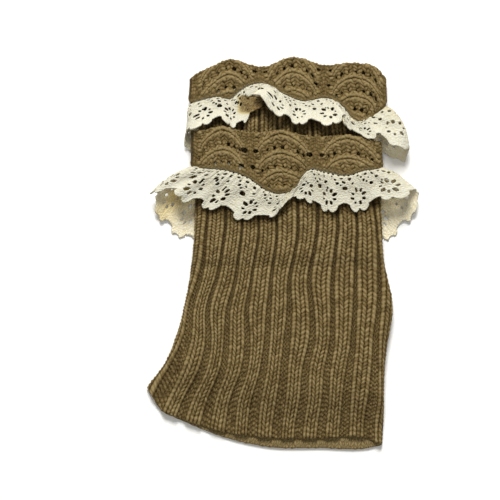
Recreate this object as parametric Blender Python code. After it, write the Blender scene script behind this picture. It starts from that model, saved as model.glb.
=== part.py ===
"""Pair of knitted leg warmers with lace ruffles, laid flat, one pushed part way inside the other.

Each leg warmer is three closed walls round the leg: a tube in two-by-two rib, a fan-knit cuff over
the tube's top, and a gathered lace ruffle sewn between the two.  The inner leg warmer stands out of
the outer one's mouth by the height of its own cuff and ruffle.

Every size is in millimetres and is scaled to metres when a mesh is made.  While the walls are worked
out, x runs to the right and y runs up the legs, both from the middle of the flat pair, and z is the
height over the surface.  At the end all pieces are moved together, so that the origin is at the
bottom centre of the pair.
"""
from dataclasses import dataclass

import bpy
import numpy as np

MM = 0.001

# Walls, and the gaps that keep neighbours apart
RIB_WALL = 1.8
CUFF_WALL = 1.5
LACE_WALL = 1.0
SEAM_GAP = 0.3
INSIDE_GAP = 0.3
NEST_GAP = 0.6

# Relief that is knitted into the cloth
RIB_DEPTH = 0.7
FAN_DEPTH = 0.6
RIBS_ACROSS = 10
FANS_ACROSS = 3
FAN_PITCH = 12.0
FAN_ARCH = 5.5
FAN_NOTCH_START = 0.75
FAN_NOTCH_DEPTH = 0.75
FAN_TOP_FADE = 0.12

# Stacked thicknesses, in the order in which the flat layers lie on each other
CUFF_LAYER = CUFF_WALL + SEAM_GAP
LACE_LAYER = LACE_WALL + SEAM_GAP
RIB_LAYER = RIB_WALL + NEST_GAP
SINGLE_HALF = RIB_WALL + INSIDE_GAP / 2
NESTED_HALF = SINGLE_HALF + RIB_LAYER + RIB_DEPTH / 2

# Low and high y of each slope, where what lies over a layer comes down past that layer's end
OVER_OUTER_LACE = (-10.0, 0.0)
OVER_OUTER_CUFF = (34.0, 44.0)
OVER_INNER_LACE = (61.0, 70.0)
INTO_OUTER_MOUTH = (86.0, 96.0)

# Stretch along the outer tube where its front comes down past the inner tube's hem
PAST_INNER_HEM = (0.83, 0.92)

# Slack over the lace in front, its reach under the cuff's edge, and the clear strip below that edge
LACE_SLACK = 0.3
LACE_TUCK = 4.5
LACE_CLEAR = 1.0
EDGE_ROUNDING = 1.3
EDGE_SAMPLES = 201

# One row for each place along a tube: the left and right edges of the flat tube
OUTER_TUBE_EDGES = np.array([
    # along, left_x, left_y, right_x, right_y
    (0.00, -61.0, 82.0, 62.0, 74.0),
    (0.10, -61.0, 63.0, 63.0, 60.0),
    (0.20, -60.5, 44.0, 64.0, 43.5),
    (0.27, -60.5, 31.0, 64.5, 30.0),
    (0.44, -61.5, 6.0, 66.5, -5.0),
    (0.58, -64.0, -16.0, 72.5, -38.0),
    (0.70, -68.0, -37.0, 68.0, -66.0),
    (0.80, -72.5, -54.0, 66.5, -87.0),
    (0.90, -80.5, -74.0, 66.5, -108.0),
    (1.00, -93.5, -92.0, 65.5, -130.5),
])
INNER_TUBE_EDGES = np.array([
    # along, left_x, left_y, right_x, right_y
    (0.00, -62.0, 117.0, 65.5, 117.0),
    (0.10, -62.0, 100.0, 65.0, 100.0),
    (0.17, -58.4, 88.0, 59.4, 88.0),
    (0.26, -58.4, 72.0, 59.8, 72.0),
    (0.42, -58.0, 44.0, 60.8, 42.0),
    (0.58, -58.0, 19.0, 61.5, 10.0),
    (0.75, -58.8, -8.0, 63.5, -32.0),
    (0.88, -61.0, -28.0, 64.0, -59.0),
    (1.00, -65.0, -47.0, 62.0, -84.0),
])

# One row for each place across a tube: how far its top rises over, and its hem sags under, the
# straight line between the two edges
OUTER_TUBE_BOWS = np.array([
    # across, top_rise, front_sag, back_sag
    (0.00, 0.0, 0.0, 0.0),
    (0.02, 0.3, 5.5, 5.0),
    (0.05, 0.6, 11.7, 11.5),
    (0.12, 1.0, 14.5, 15.5),
    (0.20, 1.3, 16.0, 18.0),
    (0.31, 1.5, 16.8, 20.5),
    (0.43, 1.0, 15.5, 21.0),
    (0.52, 1.5, 13.5, 20.0),
    (0.73, 1.3, 6.0, 12.5),
    (0.97, 0.3, -1.5, 2.5),
    (1.00, 0.0, 0.0, 0.0),
])
INNER_TUBE_BOWS = np.array([
    # across, top_rise, front_sag, back_sag
    (0.00, 0.0, 0.0, 0.0),
    (0.05, 4.5, 8.0, 8.0),
    (0.12, 8.5, 11.0, 12.0),
    (0.20, 13.0, 12.5, 14.0),
    (0.31, 9.5, 13.0, 15.0),
    (0.37, 8.3, 12.5, 15.0),
    (0.52, 14.5, 10.0, 13.0),
    (0.68, 9.5, 6.0, 9.0),
    (0.85, 10.5, 2.0, 4.0),
    (0.95, 7.0, 0.0, 1.0),
    (1.00, 0.0, 0.0, 0.0),
])

# One row for each lobe or notch across a cuff: its top edge over the tube's top, and its lower edge
OUTER_CUFF_EDGES = np.array([
    # across, top_over_tube, front_edge_y, back_edge_y
    (0.00, 1.5, 58.5, 58.5),
    (0.08, 1.8, 58.5, 52.0),
    (0.18, 3.0, 57.5, 50.0),
    (0.30, 1.5, 52.0, 49.0),
    (0.38, 2.0, 44.5, 48.0),
    (0.46, 3.0, 41.5, 48.5),
    (0.52, 2.0, 43.5, 48.0),
    (0.61, 1.3, 57.5, 49.0),
    (0.70, 1.8, 56.5, 48.0),
    (0.81, 2.5, 54.0, 49.0),
    (0.91, 2.0, 57.5, 52.0),
    (1.00, 1.5, 58.0, 58.0),
])
INNER_CUFF_EDGES = np.array([
    # across, top_over_tube, front_edge_y, back_edge_y
    (0.00, 1.5, 103.0, 103.0),
    (0.06, 1.5, 105.5, 101.0),
    (0.13, 1.5, 107.5, 98.0),
    (0.21, 1.5, 106.5, 97.0),
    (0.26, 1.5, 112.5, 97.5),
    (0.33, 1.5, 116.5, 97.0),
    (0.40, 1.5, 115.5, 97.5),
    (0.47, 1.5, 110.0, 97.0),
    (0.58, 1.5, 104.5, 96.5),
    (0.70, 1.5, 106.5, 97.0),
    (0.78, 1.5, 101.0, 96.5),
    (0.84, 1.5, 94.0, 97.0),
    (0.91, 1.5, 90.5, 97.0),
    (0.96, 1.5, 95.0, 98.0),
    (1.00, 1.5, 101.0, 101.0),
])

# One row for each crest, trough or turn of a ruffle's hem.  Seam runs once round the leg: 0 to 1
# across the front from the left edge to the right one, and 1 to 2 across the back to the left edge.
OUTER_RUFFLE_FOLDS = np.array([
    # seam, hem_x, hem_y, hem_height
    (0.000, -91.5, 37.0, 8.0),
    (0.060, -85.5, 41.0, 13.5),
    (0.110, -76.5, 41.0, 16.5),
    (0.160, -69.5, 34.5, 15.0),
    (0.200, -61.0, 33.5, 14.5),
    (0.250, -53.5, 29.5, 12.8),
    (0.300, -44.5, 29.0, 14.2),
    (0.350, -33.5, 23.0, 12.6),
    (0.400, -23.5, 23.0, 13.4),
    (0.445, -10.5, 24.0, 15.5),
    (0.485, -3.0, 30.0, 18.2),
    (0.515, 0.8, 34.5, 19.2),
    (0.540, 3.2, 36.5, 18.0),
    (0.565, 5.2, 36.5, 15.6),
    (0.620, 12.0, 36.5, 14.2),
    (0.690, 23.0, 29.5, 12.8),
    (0.750, 32.5, 28.0, 13.8),
    (0.800, 40.5, 30.5, 14.6),
    (0.850, 48.0, 28.0, 12.8),
    (0.900, 57.5, 31.0, 13.8),
    (0.940, 66.5, 36.0, 16.5),
    (0.975, 78.0, 37.0, 15.0),
    (1.000, 92.5, 39.0, 9.0),
    (1.030, 88.5, 28.0, 4.0),
    (1.080, 81.0, 17.0, 1.2),
    (1.130, 71.0, 9.5, 0.5),
    (1.200, 62.0, 3.0, 0.5),
    (1.350, 40.5, 3.5, 0.5),
    (1.500, 1.5, 2.0, 0.5),
    (1.650, -34.5, 3.5, 0.5),
    (1.800, -58.0, 3.0, 0.5),
    (1.870, -69.0, 9.0, 0.5),
    (1.925, -80.0, 16.0, 1.2),
    (1.970, -88.0, 26.5, 4.0),
])
INNER_RUFFLE_FOLDS = np.array([
    # seam, hem_x, hem_y, hem_height
    (0.000, -68.5, 78.0, 8.0),
    (0.025, -67.0, 80.0, 14.0),
    (0.060, -60.0, 84.5, 18.0),
    (0.110, -51.5, 87.5, 17.4),
    (0.160, -45.0, 91.0, 18.4),
    (0.210, -37.5, 85.5, 17.5),
    (0.260, -29.5, 86.0, 16.8),
    (0.310, -22.5, 95.5, 14.2),
    (0.350, -15.5, 100.5, 13.6),
    (0.372, -18.5, 104.5, 16.0),
    (0.392, -24.5, 106.5, 19.2),
    (0.418, -18.0, 106.0, 22.4),
    (0.460, -10.0, 95.5, 22.0),
    (0.510, 0.5, 91.0, 20.6),
    (0.560, 10.0, 86.5, 20.0),
    (0.610, 18.0, 89.0, 21.2),
    (0.660, 26.0, 86.0, 20.8),
    (0.700, 34.5, 87.5, 22.2),
    (0.735, 41.0, 91.5, 23.8),
    (0.765, 40.2, 88.5, 20.8),
    (0.795, 42.0, 84.0, 18.0),
    (0.845, 49.5, 80.5, 17.8),
    (0.885, 57.5, 77.0, 17.8),
    (0.925, 63.5, 78.5, 18.8),
    (0.957, 71.0, 74.0, 16.8),
    (0.982, 78.0, 71.0, 13.5),
    (1.000, 83.0, 69.5, 9.0),
    (1.030, 83.5, 63.0, 4.0),
    (1.090, 73.5, 65.0, 1.0),
    (1.200, 55.0, 68.0, 0.5),
    (1.350, 34.0, 69.5, 0.5),
    (1.500, 3.0, 69.0, 0.5),
    (1.650, -27.5, 69.5, 0.5),
    (1.800, -50.0, 68.5, 0.5),
    (1.920, -64.0, 69.5, 0.8),
    (1.970, -68.5, 73.5, 3.5),
])

# Bulge of a ruffle's left and right sides, and how far in from a side it fades, as a share
OUTER_FLARES = (3.5, 3.0)
INNER_FLARES = (1.0, 6.0)
FLARE_WIDTH = 0.12

# Steps of the walls' grids
TINY = 1e-9
RIB_STEPS = (0.22, 0.34, 0.66, 0.78)
RIB_STEP_HEIGHTS = (0.0, 1.0, 1.0, 0.0)
FRONT_MARGIN = 0.028
SIDE_STEPS = (0.004, 0.013)
BACK_SPAN = (0.95, 0.05)
BACK_STEPS = 9
OUTER_TUBE_ROWS = np.array([
    0.0, 0.06, 0.12, 0.18, 0.225, 0.27, 0.34, 0.42, 0.49, 0.57, 0.65, 0.74, 0.83, 0.875, 0.92,
    0.96, 1.0])
INNER_TUBE_ROWS = np.array([
    0.0, 0.09, 0.125, 0.16, 0.22, 0.32, 0.40, 0.45, 0.50, 0.64, 0.70, 0.85, 1.0])
CUFF_ROWS = 11
CUFF_FRONT_STEPS = 34
RUFFLE_STEPS_DOWN = (4.5, 9.0)
RUFFLE_MOST_SHARES = (0.25, 0.5)
RUFFLE_LAST_ROWS = 2
RUFFLE_LIFT_POWER = 1.4
SIDE_FADE = 0.08
RUFFLE_FRONT_STEPS = 60
RUFFLE_BACK_STEPS = 20

# Finishes: sRGB colour and roughness of each yarn
YARNS = {
    "tan_acrylic": ((0.54, 0.44, 0.28), 0.92),
    "cream_cotton": ((0.89, 0.86, 0.78), 0.88),
}


@dataclass(frozen=True)
class LegWarmer:
    """The tables and layers of one leg warmer.

    Attributes:
        name: First word of its pieces' names.
        tube_edges: Left and right edges of the flat tube.
        tube_bows: Rise of the tube's top and sag of its hem.
        cuff_edges: Top and lower edges of the cuff.
        folds: Crests, troughs and turns of the ruffle's hem.
        flares: How far the ruffle's left and right sides bulge out of a straight line.
        tube_rows: Places along the tube of its grid's rows.
    """

    name: str
    tube_edges: np.ndarray
    tube_bows: np.ndarray
    cuff_edges: np.ndarray
    folds: np.ndarray
    flares: tuple
    tube_rows: np.ndarray

    @property
    def is_outer(self):
        """True for the leg warmer that the other one is pushed into."""
        return self.name == "outer"


OUTER = LegWarmer("outer", OUTER_TUBE_EDGES, OUTER_TUBE_BOWS, OUTER_CUFF_EDGES,
                  OUTER_RUFFLE_FOLDS, OUTER_FLARES, OUTER_TUBE_ROWS)
INNER = LegWarmer("inner", INNER_TUBE_EDGES, INNER_TUBE_BOWS, INNER_CUFF_EDGES,
                  INNER_RUFFLE_FOLDS, INNER_FLARES, INNER_TUBE_ROWS)


def remove_scene_objects():
    """Start from an empty scene."""
    for scene_object in list(bpy.data.objects):
        bpy.data.objects.remove(scene_object)


def smooth_step(value, low, high):
    """Rise smoothly from 0 at low to 1 at high, with level ends."""
    share = np.clip((value - low) / (high - low), 0.0, 1.0)
    return share * share * (3.0 - 2.0 * share)


def read_smoothly(table, column, places):
    """Read one column of a table at any places, on a smooth curve through its rows.

    Each stretch between two rows is a cubic whose slope at a row is that of the line between the
    row's neighbours.  The first column of the table holds the places of its rows.
    """
    keys = table[:, 0]
    values = table[:, column]
    slopes = np.gradient(values, keys)
    index = np.clip(np.searchsorted(keys, places, side="right") - 1, 0, len(keys) - 2)
    length = keys[index + 1] - keys[index]
    share = (places - keys[index]) / length
    start = values[index] * (1 + 2 * share) * (1 - share) ** 2
    start_slope = slopes[index] * length * share * (1 - share) ** 2
    end = values[index + 1] * share ** 2 * (3 - 2 * share)
    end_slope = slopes[index + 1] * length * share ** 2 * (share - 1)
    return start + start_slope + end + end_slope


def read_round(table, column, places):
    """Read one column of a table that runs once round the leg, over seam places from 0 to 2."""
    before = table[-3:].copy()
    before[:, 0] -= 2.0
    after = table[:3].copy()
    after[:, 0] += 2.0
    return read_smoothly(np.vstack([before, table, after]), column, places)


def outer_tube_bottom(y):
    """Height of the outer tube's underside, over its cuff's and both ruffles' back layers."""
    over_lace = LACE_LAYER * smooth_step(y, *OVER_OUTER_LACE)
    over_cuff = CUFF_LAYER * smooth_step(y, *OVER_OUTER_CUFF)
    return over_lace + over_cuff


def outer_cuff_bottom(y):
    """Height of the outer cuff's underside, over the back of the inner leg warmer's ruffle."""
    return LACE_LAYER * smooth_step(y, *OVER_INNER_LACE)


def inner_tube_bottom(y):
    """Height of the inner tube's underside, over its own cuff or inside the outer tube."""
    inside = outer_tube_bottom(y) + RIB_LAYER
    over_cuff = CUFF_LAYER + LACE_LAYER
    return inside + (over_cuff - inside) * smooth_step(y, *INTO_OUTER_MOUTH)


def tube_bottom(warmer, y):
    """Height of a tube's underside."""
    return outer_tube_bottom(y) if warmer.is_outer else inner_tube_bottom(y)


def tube_half(warmer, along):
    """Half of a flat tube's thickness, without its ribs, at a place along it."""
    if not warmer.is_outer:
        return np.full_like(along, SINGLE_HALF)
    past_inner_hem = smooth_step(along, *PAST_INNER_HEM)
    return NESTED_HALF + (SINGLE_HALF - NESTED_HALF) * past_inner_hem


def tube_top(warmer, y):
    """Height of a tube's ribs in front, near its cuff."""
    half = NESTED_HALF if warmer.is_outer else SINGLE_HALF
    return tube_bottom(warmer, y) + 2 * half + RIB_DEPTH


def tube_plan(warmer, across, along, is_back, inset=0.0):
    """Plan position of points on a flat tube.

    The tube is a patch between its left and right edges, its top and its hem.  A point at across 0
    or 1 lies on an edge, moved in by inset.

    Args:
        warmer: The leg warmer.
        across: Places from the left edge, 0, to the right edge, 1.
        along: Places from the top, 0, to the hem, 1.
        is_back: True where a point is on the back panel.
        inset: Distance from the tube's edges.

    Returns:
        Arrays x and y.
    """
    left_x, left_y, right_x, right_y = (
        read_smoothly(warmer.tube_edges, column, along) for column in (1, 2, 3, 4))
    width = right_x - left_x
    moved = inset / width + across * (1 - 2 * inset / width)
    clipped = np.clip(moved, 0.0, 1.0)
    rise = read_smoothly(warmer.tube_bows, 1, clipped)
    front_sag = read_smoothly(warmer.tube_bows, 2, clipped)
    back_sag = read_smoothly(warmer.tube_bows, 3, clipped)
    sag = np.where(is_back, back_sag, front_sag)
    y = left_y + (right_y - left_y) * moved
    return left_x + width * moved, y + rise * (1 - along) ** 3 - sag * along ** 3


def flat_ring_height(distance, half):
    """Height over the middle of a flattened ring, at a distance from its edge."""
    reach = half * EDGE_ROUNDING
    share = np.clip(distance / reach, 0.0, 1.0)
    return half * np.sqrt(1 - (1 - share) ** 2)


def round_columns(front, back_steps=BACK_STEPS):
    """Places round a ring: the front's from left to right, then the sides and the back.

    Returns:
        Arrays across and is_back, one value for each column.
    """
    left_side = np.array(SIDE_STEPS)
    back = np.concatenate([
        [1 - FRONT_MARGIN], np.linspace(*BACK_SPAN, back_steps), [FRONT_MARGIN]])
    across = np.concatenate([
        [0.0], left_side, front, 1 - left_side[::-1], [1.0], 1 - left_side, back, left_side[::-1]])
    is_back = np.zeros(len(across), dtype=bool)
    is_back[-len(back) - 2 * len(left_side):] = True
    return across, is_back


def rib_columns():
    """Places of the rib's corners across the front, and the height of each as a share.

    The first and the last rib run down the tube's edges, so half of each is on the back.
    """
    ribs = np.arange(RIBS_ACROSS)[:, None]
    places = ((ribs + np.array(RIB_STEPS)[None, :] + 0.5) / RIBS_ACROSS).ravel()
    heights = np.tile(RIB_STEP_HEIGHTS, RIBS_ACROSS)
    inside = places <= 1 - FRONT_MARGIN + TINY
    return (np.concatenate([[FRONT_MARGIN], places[inside]]),
            np.concatenate([[0.0], heights[inside]]))


def ring_grid(warmer, across, is_back, along, inset, bottom_in, half_in, relief):
    """Points of one face of a flattened ring wall, rows along the tube by columns round it."""
    along = along[:, None]
    x, y = tube_plan(warmer, across[None, :], along, is_back[None, :], inset)
    width = x.max(axis=1) - x.min(axis=1)
    distance = np.minimum(across, 1 - across)[None, :] * width[:, None]
    half = tube_half(warmer, along) - half_in
    bottom = tube_bottom(warmer, y) + bottom_in
    height = flat_ring_height(distance, half)
    z = bottom + half + np.where(is_back[None, :], -height, height + relief * height / half)
    return np.stack([x, y, z], axis=-1)


def make_tube(warmer):
    """Knit one tube: a flattened ring wall with raised ribs in front and a flat back."""
    front, rib_heights = rib_columns()
    across, is_back = round_columns(front)
    relief = np.zeros(len(across))
    first = 1 + len(SIDE_STEPS)
    relief[first:first + len(front)] = rib_heights * RIB_DEPTH
    relief[[first - 1, first + len(front)]] = RIB_DEPTH
    along = warmer.tube_rows
    outer = ring_grid(warmer, across, is_back, along, 0.0, 0.0, 0.0, relief[None, :])
    inner = ring_grid(warmer, across, is_back, along, RIB_WALL, RIB_WALL, RIB_WALL, 0.0)
    return make_wall(f"{warmer.name}_rib_tube", outer, inner, "tan_acrylic")


def cuff_plan(warmer, across, share, is_back, outset):
    """Plan position of points on a cuff, from its top edge, share 0, to its lower edge, share 1."""
    tube_top_y = tube_plan(warmer, across, np.zeros_like(across), is_back)[1]
    top = tube_top_y + read_smoothly(warmer.cuff_edges, 1, across)
    front_edge = read_smoothly(warmer.cuff_edges, 2, across)
    back_edge = read_smoothly(warmer.cuff_edges, 3, across)
    edge = np.where(is_back, back_edge, front_edge)
    y = top + (edge - top) * share
    x = tube_side_x(warmer, across, y, outset)
    return x, y


def tube_side_x(warmer, across, y, outset):
    """The x of points across a tube at given heights up the leg, moved out from its edges."""
    along = np.linspace(0.0, 1.0, EDGE_SAMPLES)
    left_x, left_y, right_x, right_y = (
        read_smoothly(warmer.tube_edges, column, along) for column in (1, 2, 3, 4))
    left = np.interp(-y, -left_y, left_x) - outset
    right = np.interp(-y, -right_y, right_x) + outset
    return left + (right - left) * across


def cuff_levels(warmer, y):
    """Heights of the space inside a cuff: its floor and its roof over the tube and the lace."""
    underside = outer_cuff_bottom(y) if warmer.is_outer else np.zeros_like(y)
    roof = tube_top(warmer, y) + SEAM_GAP + LACE_LAYER + LACE_SLACK
    return underside + CUFF_WALL, roof


def fan_relief(across, share, depth_y):
    """Raised arcs of the fan knit, as a share of their full height.

    Each fan is a stack of arcs, highest at its middle line.  A ridge runs where the distance below
    the top edge, plus the arc's own drop toward the fan's sides, is a whole number of pitches.
    """
    fan_place = across * FANS_ACROSS
    from_middle = (fan_place - np.floor(fan_place)) * 2 - 1
    drop = FAN_ARCH * from_middle ** 2
    ridge = 0.5 + 0.5 * np.cos(2 * np.pi * (depth_y - drop) / FAN_PITCH)
    notch = 1 - FAN_NOTCH_DEPTH * smooth_step(np.abs(from_middle), FAN_NOTCH_START, 1.0)
    rim = smooth_step(share, 0.0, FAN_TOP_FADE)
    return ridge * notch * rim


def make_cuff(warmer):
    """Knit one cuff: a ring wall over the tube's top, with fan arcs raised in front."""
    front = np.linspace(FRONT_MARGIN, 1 - FRONT_MARGIN, CUFF_FRONT_STEPS)
    across, is_back = round_columns(front)
    share = np.linspace(0.0, 1.0, CUFF_ROWS)[:, None]
    row_across = np.broadcast_to(across[None, :], (CUFF_ROWS, len(across)))
    row_back = np.broadcast_to(is_back[None, :], row_across.shape)
    grids = []
    clear = SEAM_GAP + LACE_LAYER + LACE_SLACK
    for outset, wall in ((clear + CUFF_WALL, CUFF_WALL), (clear, 0.0)):
        x, y = cuff_plan(warmer, row_across, share, row_back, outset)
        floor, roof = cuff_levels(warmer, y)
        half = (roof - floor) / 2 + wall
        width = x.max(axis=1, keepdims=True) - x.min(axis=1, keepdims=True)
        distance = np.minimum(row_across, 1 - row_across) * width
        height = flat_ring_height(distance, half)
        top_y = y[:1, :]
        relief = fan_relief(row_across, share, top_y - y) * FAN_DEPTH if wall else 0.0
        z = (floor + roof) / 2 + np.where(row_back, -height, height + relief * height / half)
        grids.append(np.stack([x, y, z], axis=-1))
    return make_wall(f"{warmer.name}_fan_cuff", grids[0], grids[1], "tan_acrylic")


def ruffle_root(warmer, seam, lower):
    """Points of a ruffle's middle surface on the tube, a distance lower than its cuff's edge."""
    is_back = seam > 1.0
    across = np.where(is_back, 2.0 - seam, seam)
    front_edge = read_smoothly(warmer.cuff_edges, 2, across)
    back_edge = read_smoothly(warmer.cuff_edges, 3, across)
    y = np.where(is_back, back_edge, front_edge) - lower
    offset = SEAM_GAP + LACE_WALL / 2
    x = tube_side_x(warmer, across, y, offset + LACE_SLACK)
    bottom = tube_bottom(warmer, y) - offset
    top = tube_top(warmer, y) + offset
    half = (top - bottom) / 2
    width = x.max() - x.min()
    height = flat_ring_height(np.minimum(across, 1 - across) * width, half)
    z = (top + bottom) / 2 + np.where(is_back, -height, height)
    return np.stack([x, y, z], axis=-1)


def make_ruffle(warmer):
    """Gather one lace ruffle: a wall from its seam on the tube out to a folded hem."""
    front = np.linspace(FRONT_MARGIN, 1 - FRONT_MARGIN, RUFFLE_FRONT_STEPS)
    across, is_back = round_columns(front, RUFFLE_BACK_STEPS)
    seam = np.where(is_back, 2.0 - across, across)
    root = ruffle_root(warmer, seam, -LACE_TUCK)
    edge = ruffle_root(warmer, seam, LACE_CLEAR)
    hem = np.stack([read_round(warmer.folds, column, seam) for column in (1, 2, 3)], axis=-1)
    hem[:, 2] = np.maximum(hem[:, 2], LACE_WALL / 2)
    length = np.linalg.norm(hem - edge, axis=1)
    shares = [np.minimum(step / length, most)
              for step, most in zip(RUFFLE_STEPS_DOWN, RUFFLE_MOST_SHARES)]
    for row in range(1, RUFFLE_LAST_ROWS + 1):
        shares.append(shares[1] + (1 - shares[1]) * row / RUFFLE_LAST_ROWS)
    from_side = np.minimum(across, 1 - across)
    flat_back = np.where(is_back, smooth_step(from_side, 0.0, SIDE_FADE), 0.0)
    sideways = flare_direction(hem - edge, across < 0.5)
    side = 1 - smooth_step(from_side, 0.0, FLARE_WIDTH)
    flare = np.where(across < 0.5, warmer.flares[0], warmer.flares[1]) * side
    rows = [root, (root + edge) / 2, edge]
    for share in shares:
        bulge = flare * 4 * share * (1 - share)
        point = edge + (hem - edge) * share[:, None] + sideways * bulge[:, None]
        settled = np.minimum(share / shares[1], 1.0)
        lifted = share ** RUFFLE_LIFT_POWER
        climb = lifted + (settled - lifted) * flat_back
        point[:, 2] = edge[:, 2] + (hem[:, 2] - edge[:, 2]) * climb
        rows.append(point)
    middle = np.stack(rows)
    normal = grid_normals(middle)
    outer = middle + normal * LACE_WALL / 2
    inner = middle - normal * LACE_WALL / 2
    outer[..., 2] = np.maximum(outer[..., 2], 0.0)
    inner[..., 2] = np.maximum(inner[..., 2], 0.0)
    return make_wall(f"{warmer.name}_lace_ruffle", outer, inner, "cream_cotton")


def flare_direction(spine, is_left):
    """Level unit vectors square to a ruffle's spines, pointing up the leg and away from it."""
    side = np.where(is_left, 1.0, -1.0)
    level = np.stack([spine[:, 1] * side, -spine[:, 0] * side, np.zeros(len(spine))], axis=-1)
    return level / np.linalg.norm(level, axis=1, keepdims=True)


def grid_normals(grid):
    """Unit normals of a grid that is closed round its columns, pointing away from the leg."""
    round_step = np.roll(grid, -1, axis=1) - np.roll(grid, 1, axis=1)
    along_step = np.gradient(grid, axis=0)
    normal = np.cross(along_step, round_step)
    return normal / np.linalg.norm(normal, axis=-1, keepdims=True)


def make_wall(name, outer, inner, yarn):
    """Join two grids of points into one closed wall with open ends, as a new object."""
    rows, columns = outer.shape[:2]
    count = rows * columns
    index = np.arange(count).reshape(rows, columns)
    beside = np.roll(index, -1, axis=1)
    outside = np.stack([index[:-1], index[1:], beside[1:], beside[:-1]], axis=-1).reshape(-1, 4)
    inside = outside[:, ::-1] + count
    top = np.stack([index[0], beside[0], beside[0] + count, index[0] + count], axis=-1)
    hem = np.stack([index[-1], index[-1] + count, beside[-1] + count, beside[-1]], axis=-1)
    faces = np.vstack([outside, inside, top, hem])
    points = np.vstack([outer.reshape(-1, 3), inner.reshape(-1, 3)]) * MM
    mesh = bpy.data.meshes.new(name)
    mesh.from_pydata(points.tolist(), [], faces.tolist())
    mesh.shade_smooth()
    mesh.materials.append(yarn_material(yarn, name))
    wall = bpy.data.objects.new(name, mesh)
    bpy.context.scene.collection.objects.link(wall)
    return wall


def yarn_material(yarn, name):
    """Matte material of a yarn, one for each object."""
    colour, roughness = YARNS[yarn]
    material = bpy.data.materials.new(f"{name}_{yarn}")
    material.use_nodes = True
    shader = material.node_tree.nodes["Principled BSDF"]
    linear = [((channel + 0.055) / 1.055) ** 2.4 for channel in colour]
    shader.inputs["Base Color"].default_value = (*linear, 1.0)
    shader.inputs["Roughness"].default_value = roughness
    shader.inputs["Metallic"].default_value = 0.0
    return material


def centre_pieces(pieces):
    """Move the pieces' points together, so that the origin is at their bottom centre."""
    corners = np.array([vertex.co[:] for piece in pieces for vertex in piece.data.vertices])
    low = corners.min(axis=0)
    high = corners.max(axis=0)
    middle = (low + high) / 2
    for piece in pieces:
        for vertex in piece.data.vertices:
            vertex.co.x -= middle[0]
            vertex.co.y -= middle[1]
            vertex.co.z -= low[2]


def main():
    """Build the pair."""
    remove_scene_objects()
    pieces = []
    for warmer in (OUTER, INNER):
        pieces.append(make_tube(warmer))
        pieces.append(make_cuff(warmer))
        pieces.append(make_ruffle(warmer))
    centre_pieces(pieces)


main()
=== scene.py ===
"""Looks of a pair of knitted leg warmers with lace ruffles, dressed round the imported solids.

Each leg warmer is a tube in two-by-two rib, a fan-knit cuff and a gathered lace ruffle.  Every piece
is a surface worked out on a grid, on the same form as its solid and with the stitches, eyelets and
picots that the solid leaves out.

Sizes are in millimetres in the frame of the tables: x to the right, y up the legs, both from the
middle of the flat pair, and z over the surface.  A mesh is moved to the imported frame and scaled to
metres when it is made.
"""

import logging
from dataclasses import dataclass, field
from enum import Enum
from typing import Callable

import bpy
import numpy as np
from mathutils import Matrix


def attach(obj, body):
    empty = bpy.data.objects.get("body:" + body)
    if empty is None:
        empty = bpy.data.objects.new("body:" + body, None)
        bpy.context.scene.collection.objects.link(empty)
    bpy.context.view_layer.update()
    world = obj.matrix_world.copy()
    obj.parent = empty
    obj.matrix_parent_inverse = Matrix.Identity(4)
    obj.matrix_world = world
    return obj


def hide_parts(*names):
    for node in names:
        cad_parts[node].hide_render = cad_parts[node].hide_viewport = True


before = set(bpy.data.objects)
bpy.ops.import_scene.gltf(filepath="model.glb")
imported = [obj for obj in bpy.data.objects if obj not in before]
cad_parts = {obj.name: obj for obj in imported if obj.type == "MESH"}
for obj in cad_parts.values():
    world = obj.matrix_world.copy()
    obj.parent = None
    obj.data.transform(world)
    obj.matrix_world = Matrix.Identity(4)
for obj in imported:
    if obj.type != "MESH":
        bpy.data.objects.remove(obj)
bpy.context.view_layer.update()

Array = np.ndarray
log = logging.getLogger("leg_warmers")

MM = 0.001

# Middle of the pair's box in the frame of the tables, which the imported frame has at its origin
PAIR_MIDDLE = (-0.0513, -0.2063, 0.0)

# Walls, and the gaps that keep neighbours apart
RIB_WALL = 1.8
CUFF_WALL = 1.5
LACE_WALL = 1.0
SEAM_GAP = 0.3
INSIDE_GAP = 0.3
NEST_GAP = 0.6
RIB_DEPTH = 0.7

# Stacked thicknesses, in the order in which the flat layers lie on each other
CUFF_LAYER = CUFF_WALL + SEAM_GAP
LACE_LAYER = LACE_WALL + SEAM_GAP
RIB_LAYER = RIB_WALL + NEST_GAP
SINGLE_HALF = RIB_WALL + INSIDE_GAP / 2
NESTED_HALF = SINGLE_HALF + RIB_LAYER + RIB_DEPTH / 2

# Low and high y of each slope, where what lies over a layer comes down past that layer's end
OVER_OUTER_LACE = (-10.0, 0.0)
OVER_OUTER_CUFF = (34.0, 44.0)
OVER_INNER_LACE = (61.0, 70.0)
INTO_OUTER_MOUTH = (86.0, 96.0)
PAST_INNER_HEM = (0.83, 0.98)

# Slack over the lace in front, its reach under the cuff's edge, and the clear strip below that edge
LACE_SLACK = 0.3
LACE_TUCK = 4.5
LACE_CLEAR = 1.0
EDGE_ROUNDING = 1.3
EDGE_SAMPLES = 201

# Stretch beside each side, as a share of the front, where a ruffle's back starts to lie flat, and
# where its sides bulge
SIDE_FADE = 0.08
FLARE_WIDTH = 0.12

# Power by which a ruffle climbs from the tube, and the length, and the most of its way to the hem, in
# which its back settles on the floor
LIFT_POWER = 1.4
SETTLE_LENGTH = 9.0
SETTLE_MOST = 0.5

# Length of an ellipse's quarter over that of a circle with the mean of its two half axes
QUARTER_STRETCH = 1.005

# Distance that stands for no opening near
FAR = 9.0

# Places along a tube of the rows on its inner face, from the hem up
INNER_FACE_PLACES = np.concatenate([[1.0, 0.995, 0.985, 0.97, 0.95], np.linspace(0.9, 0.0, 12)])

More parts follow.
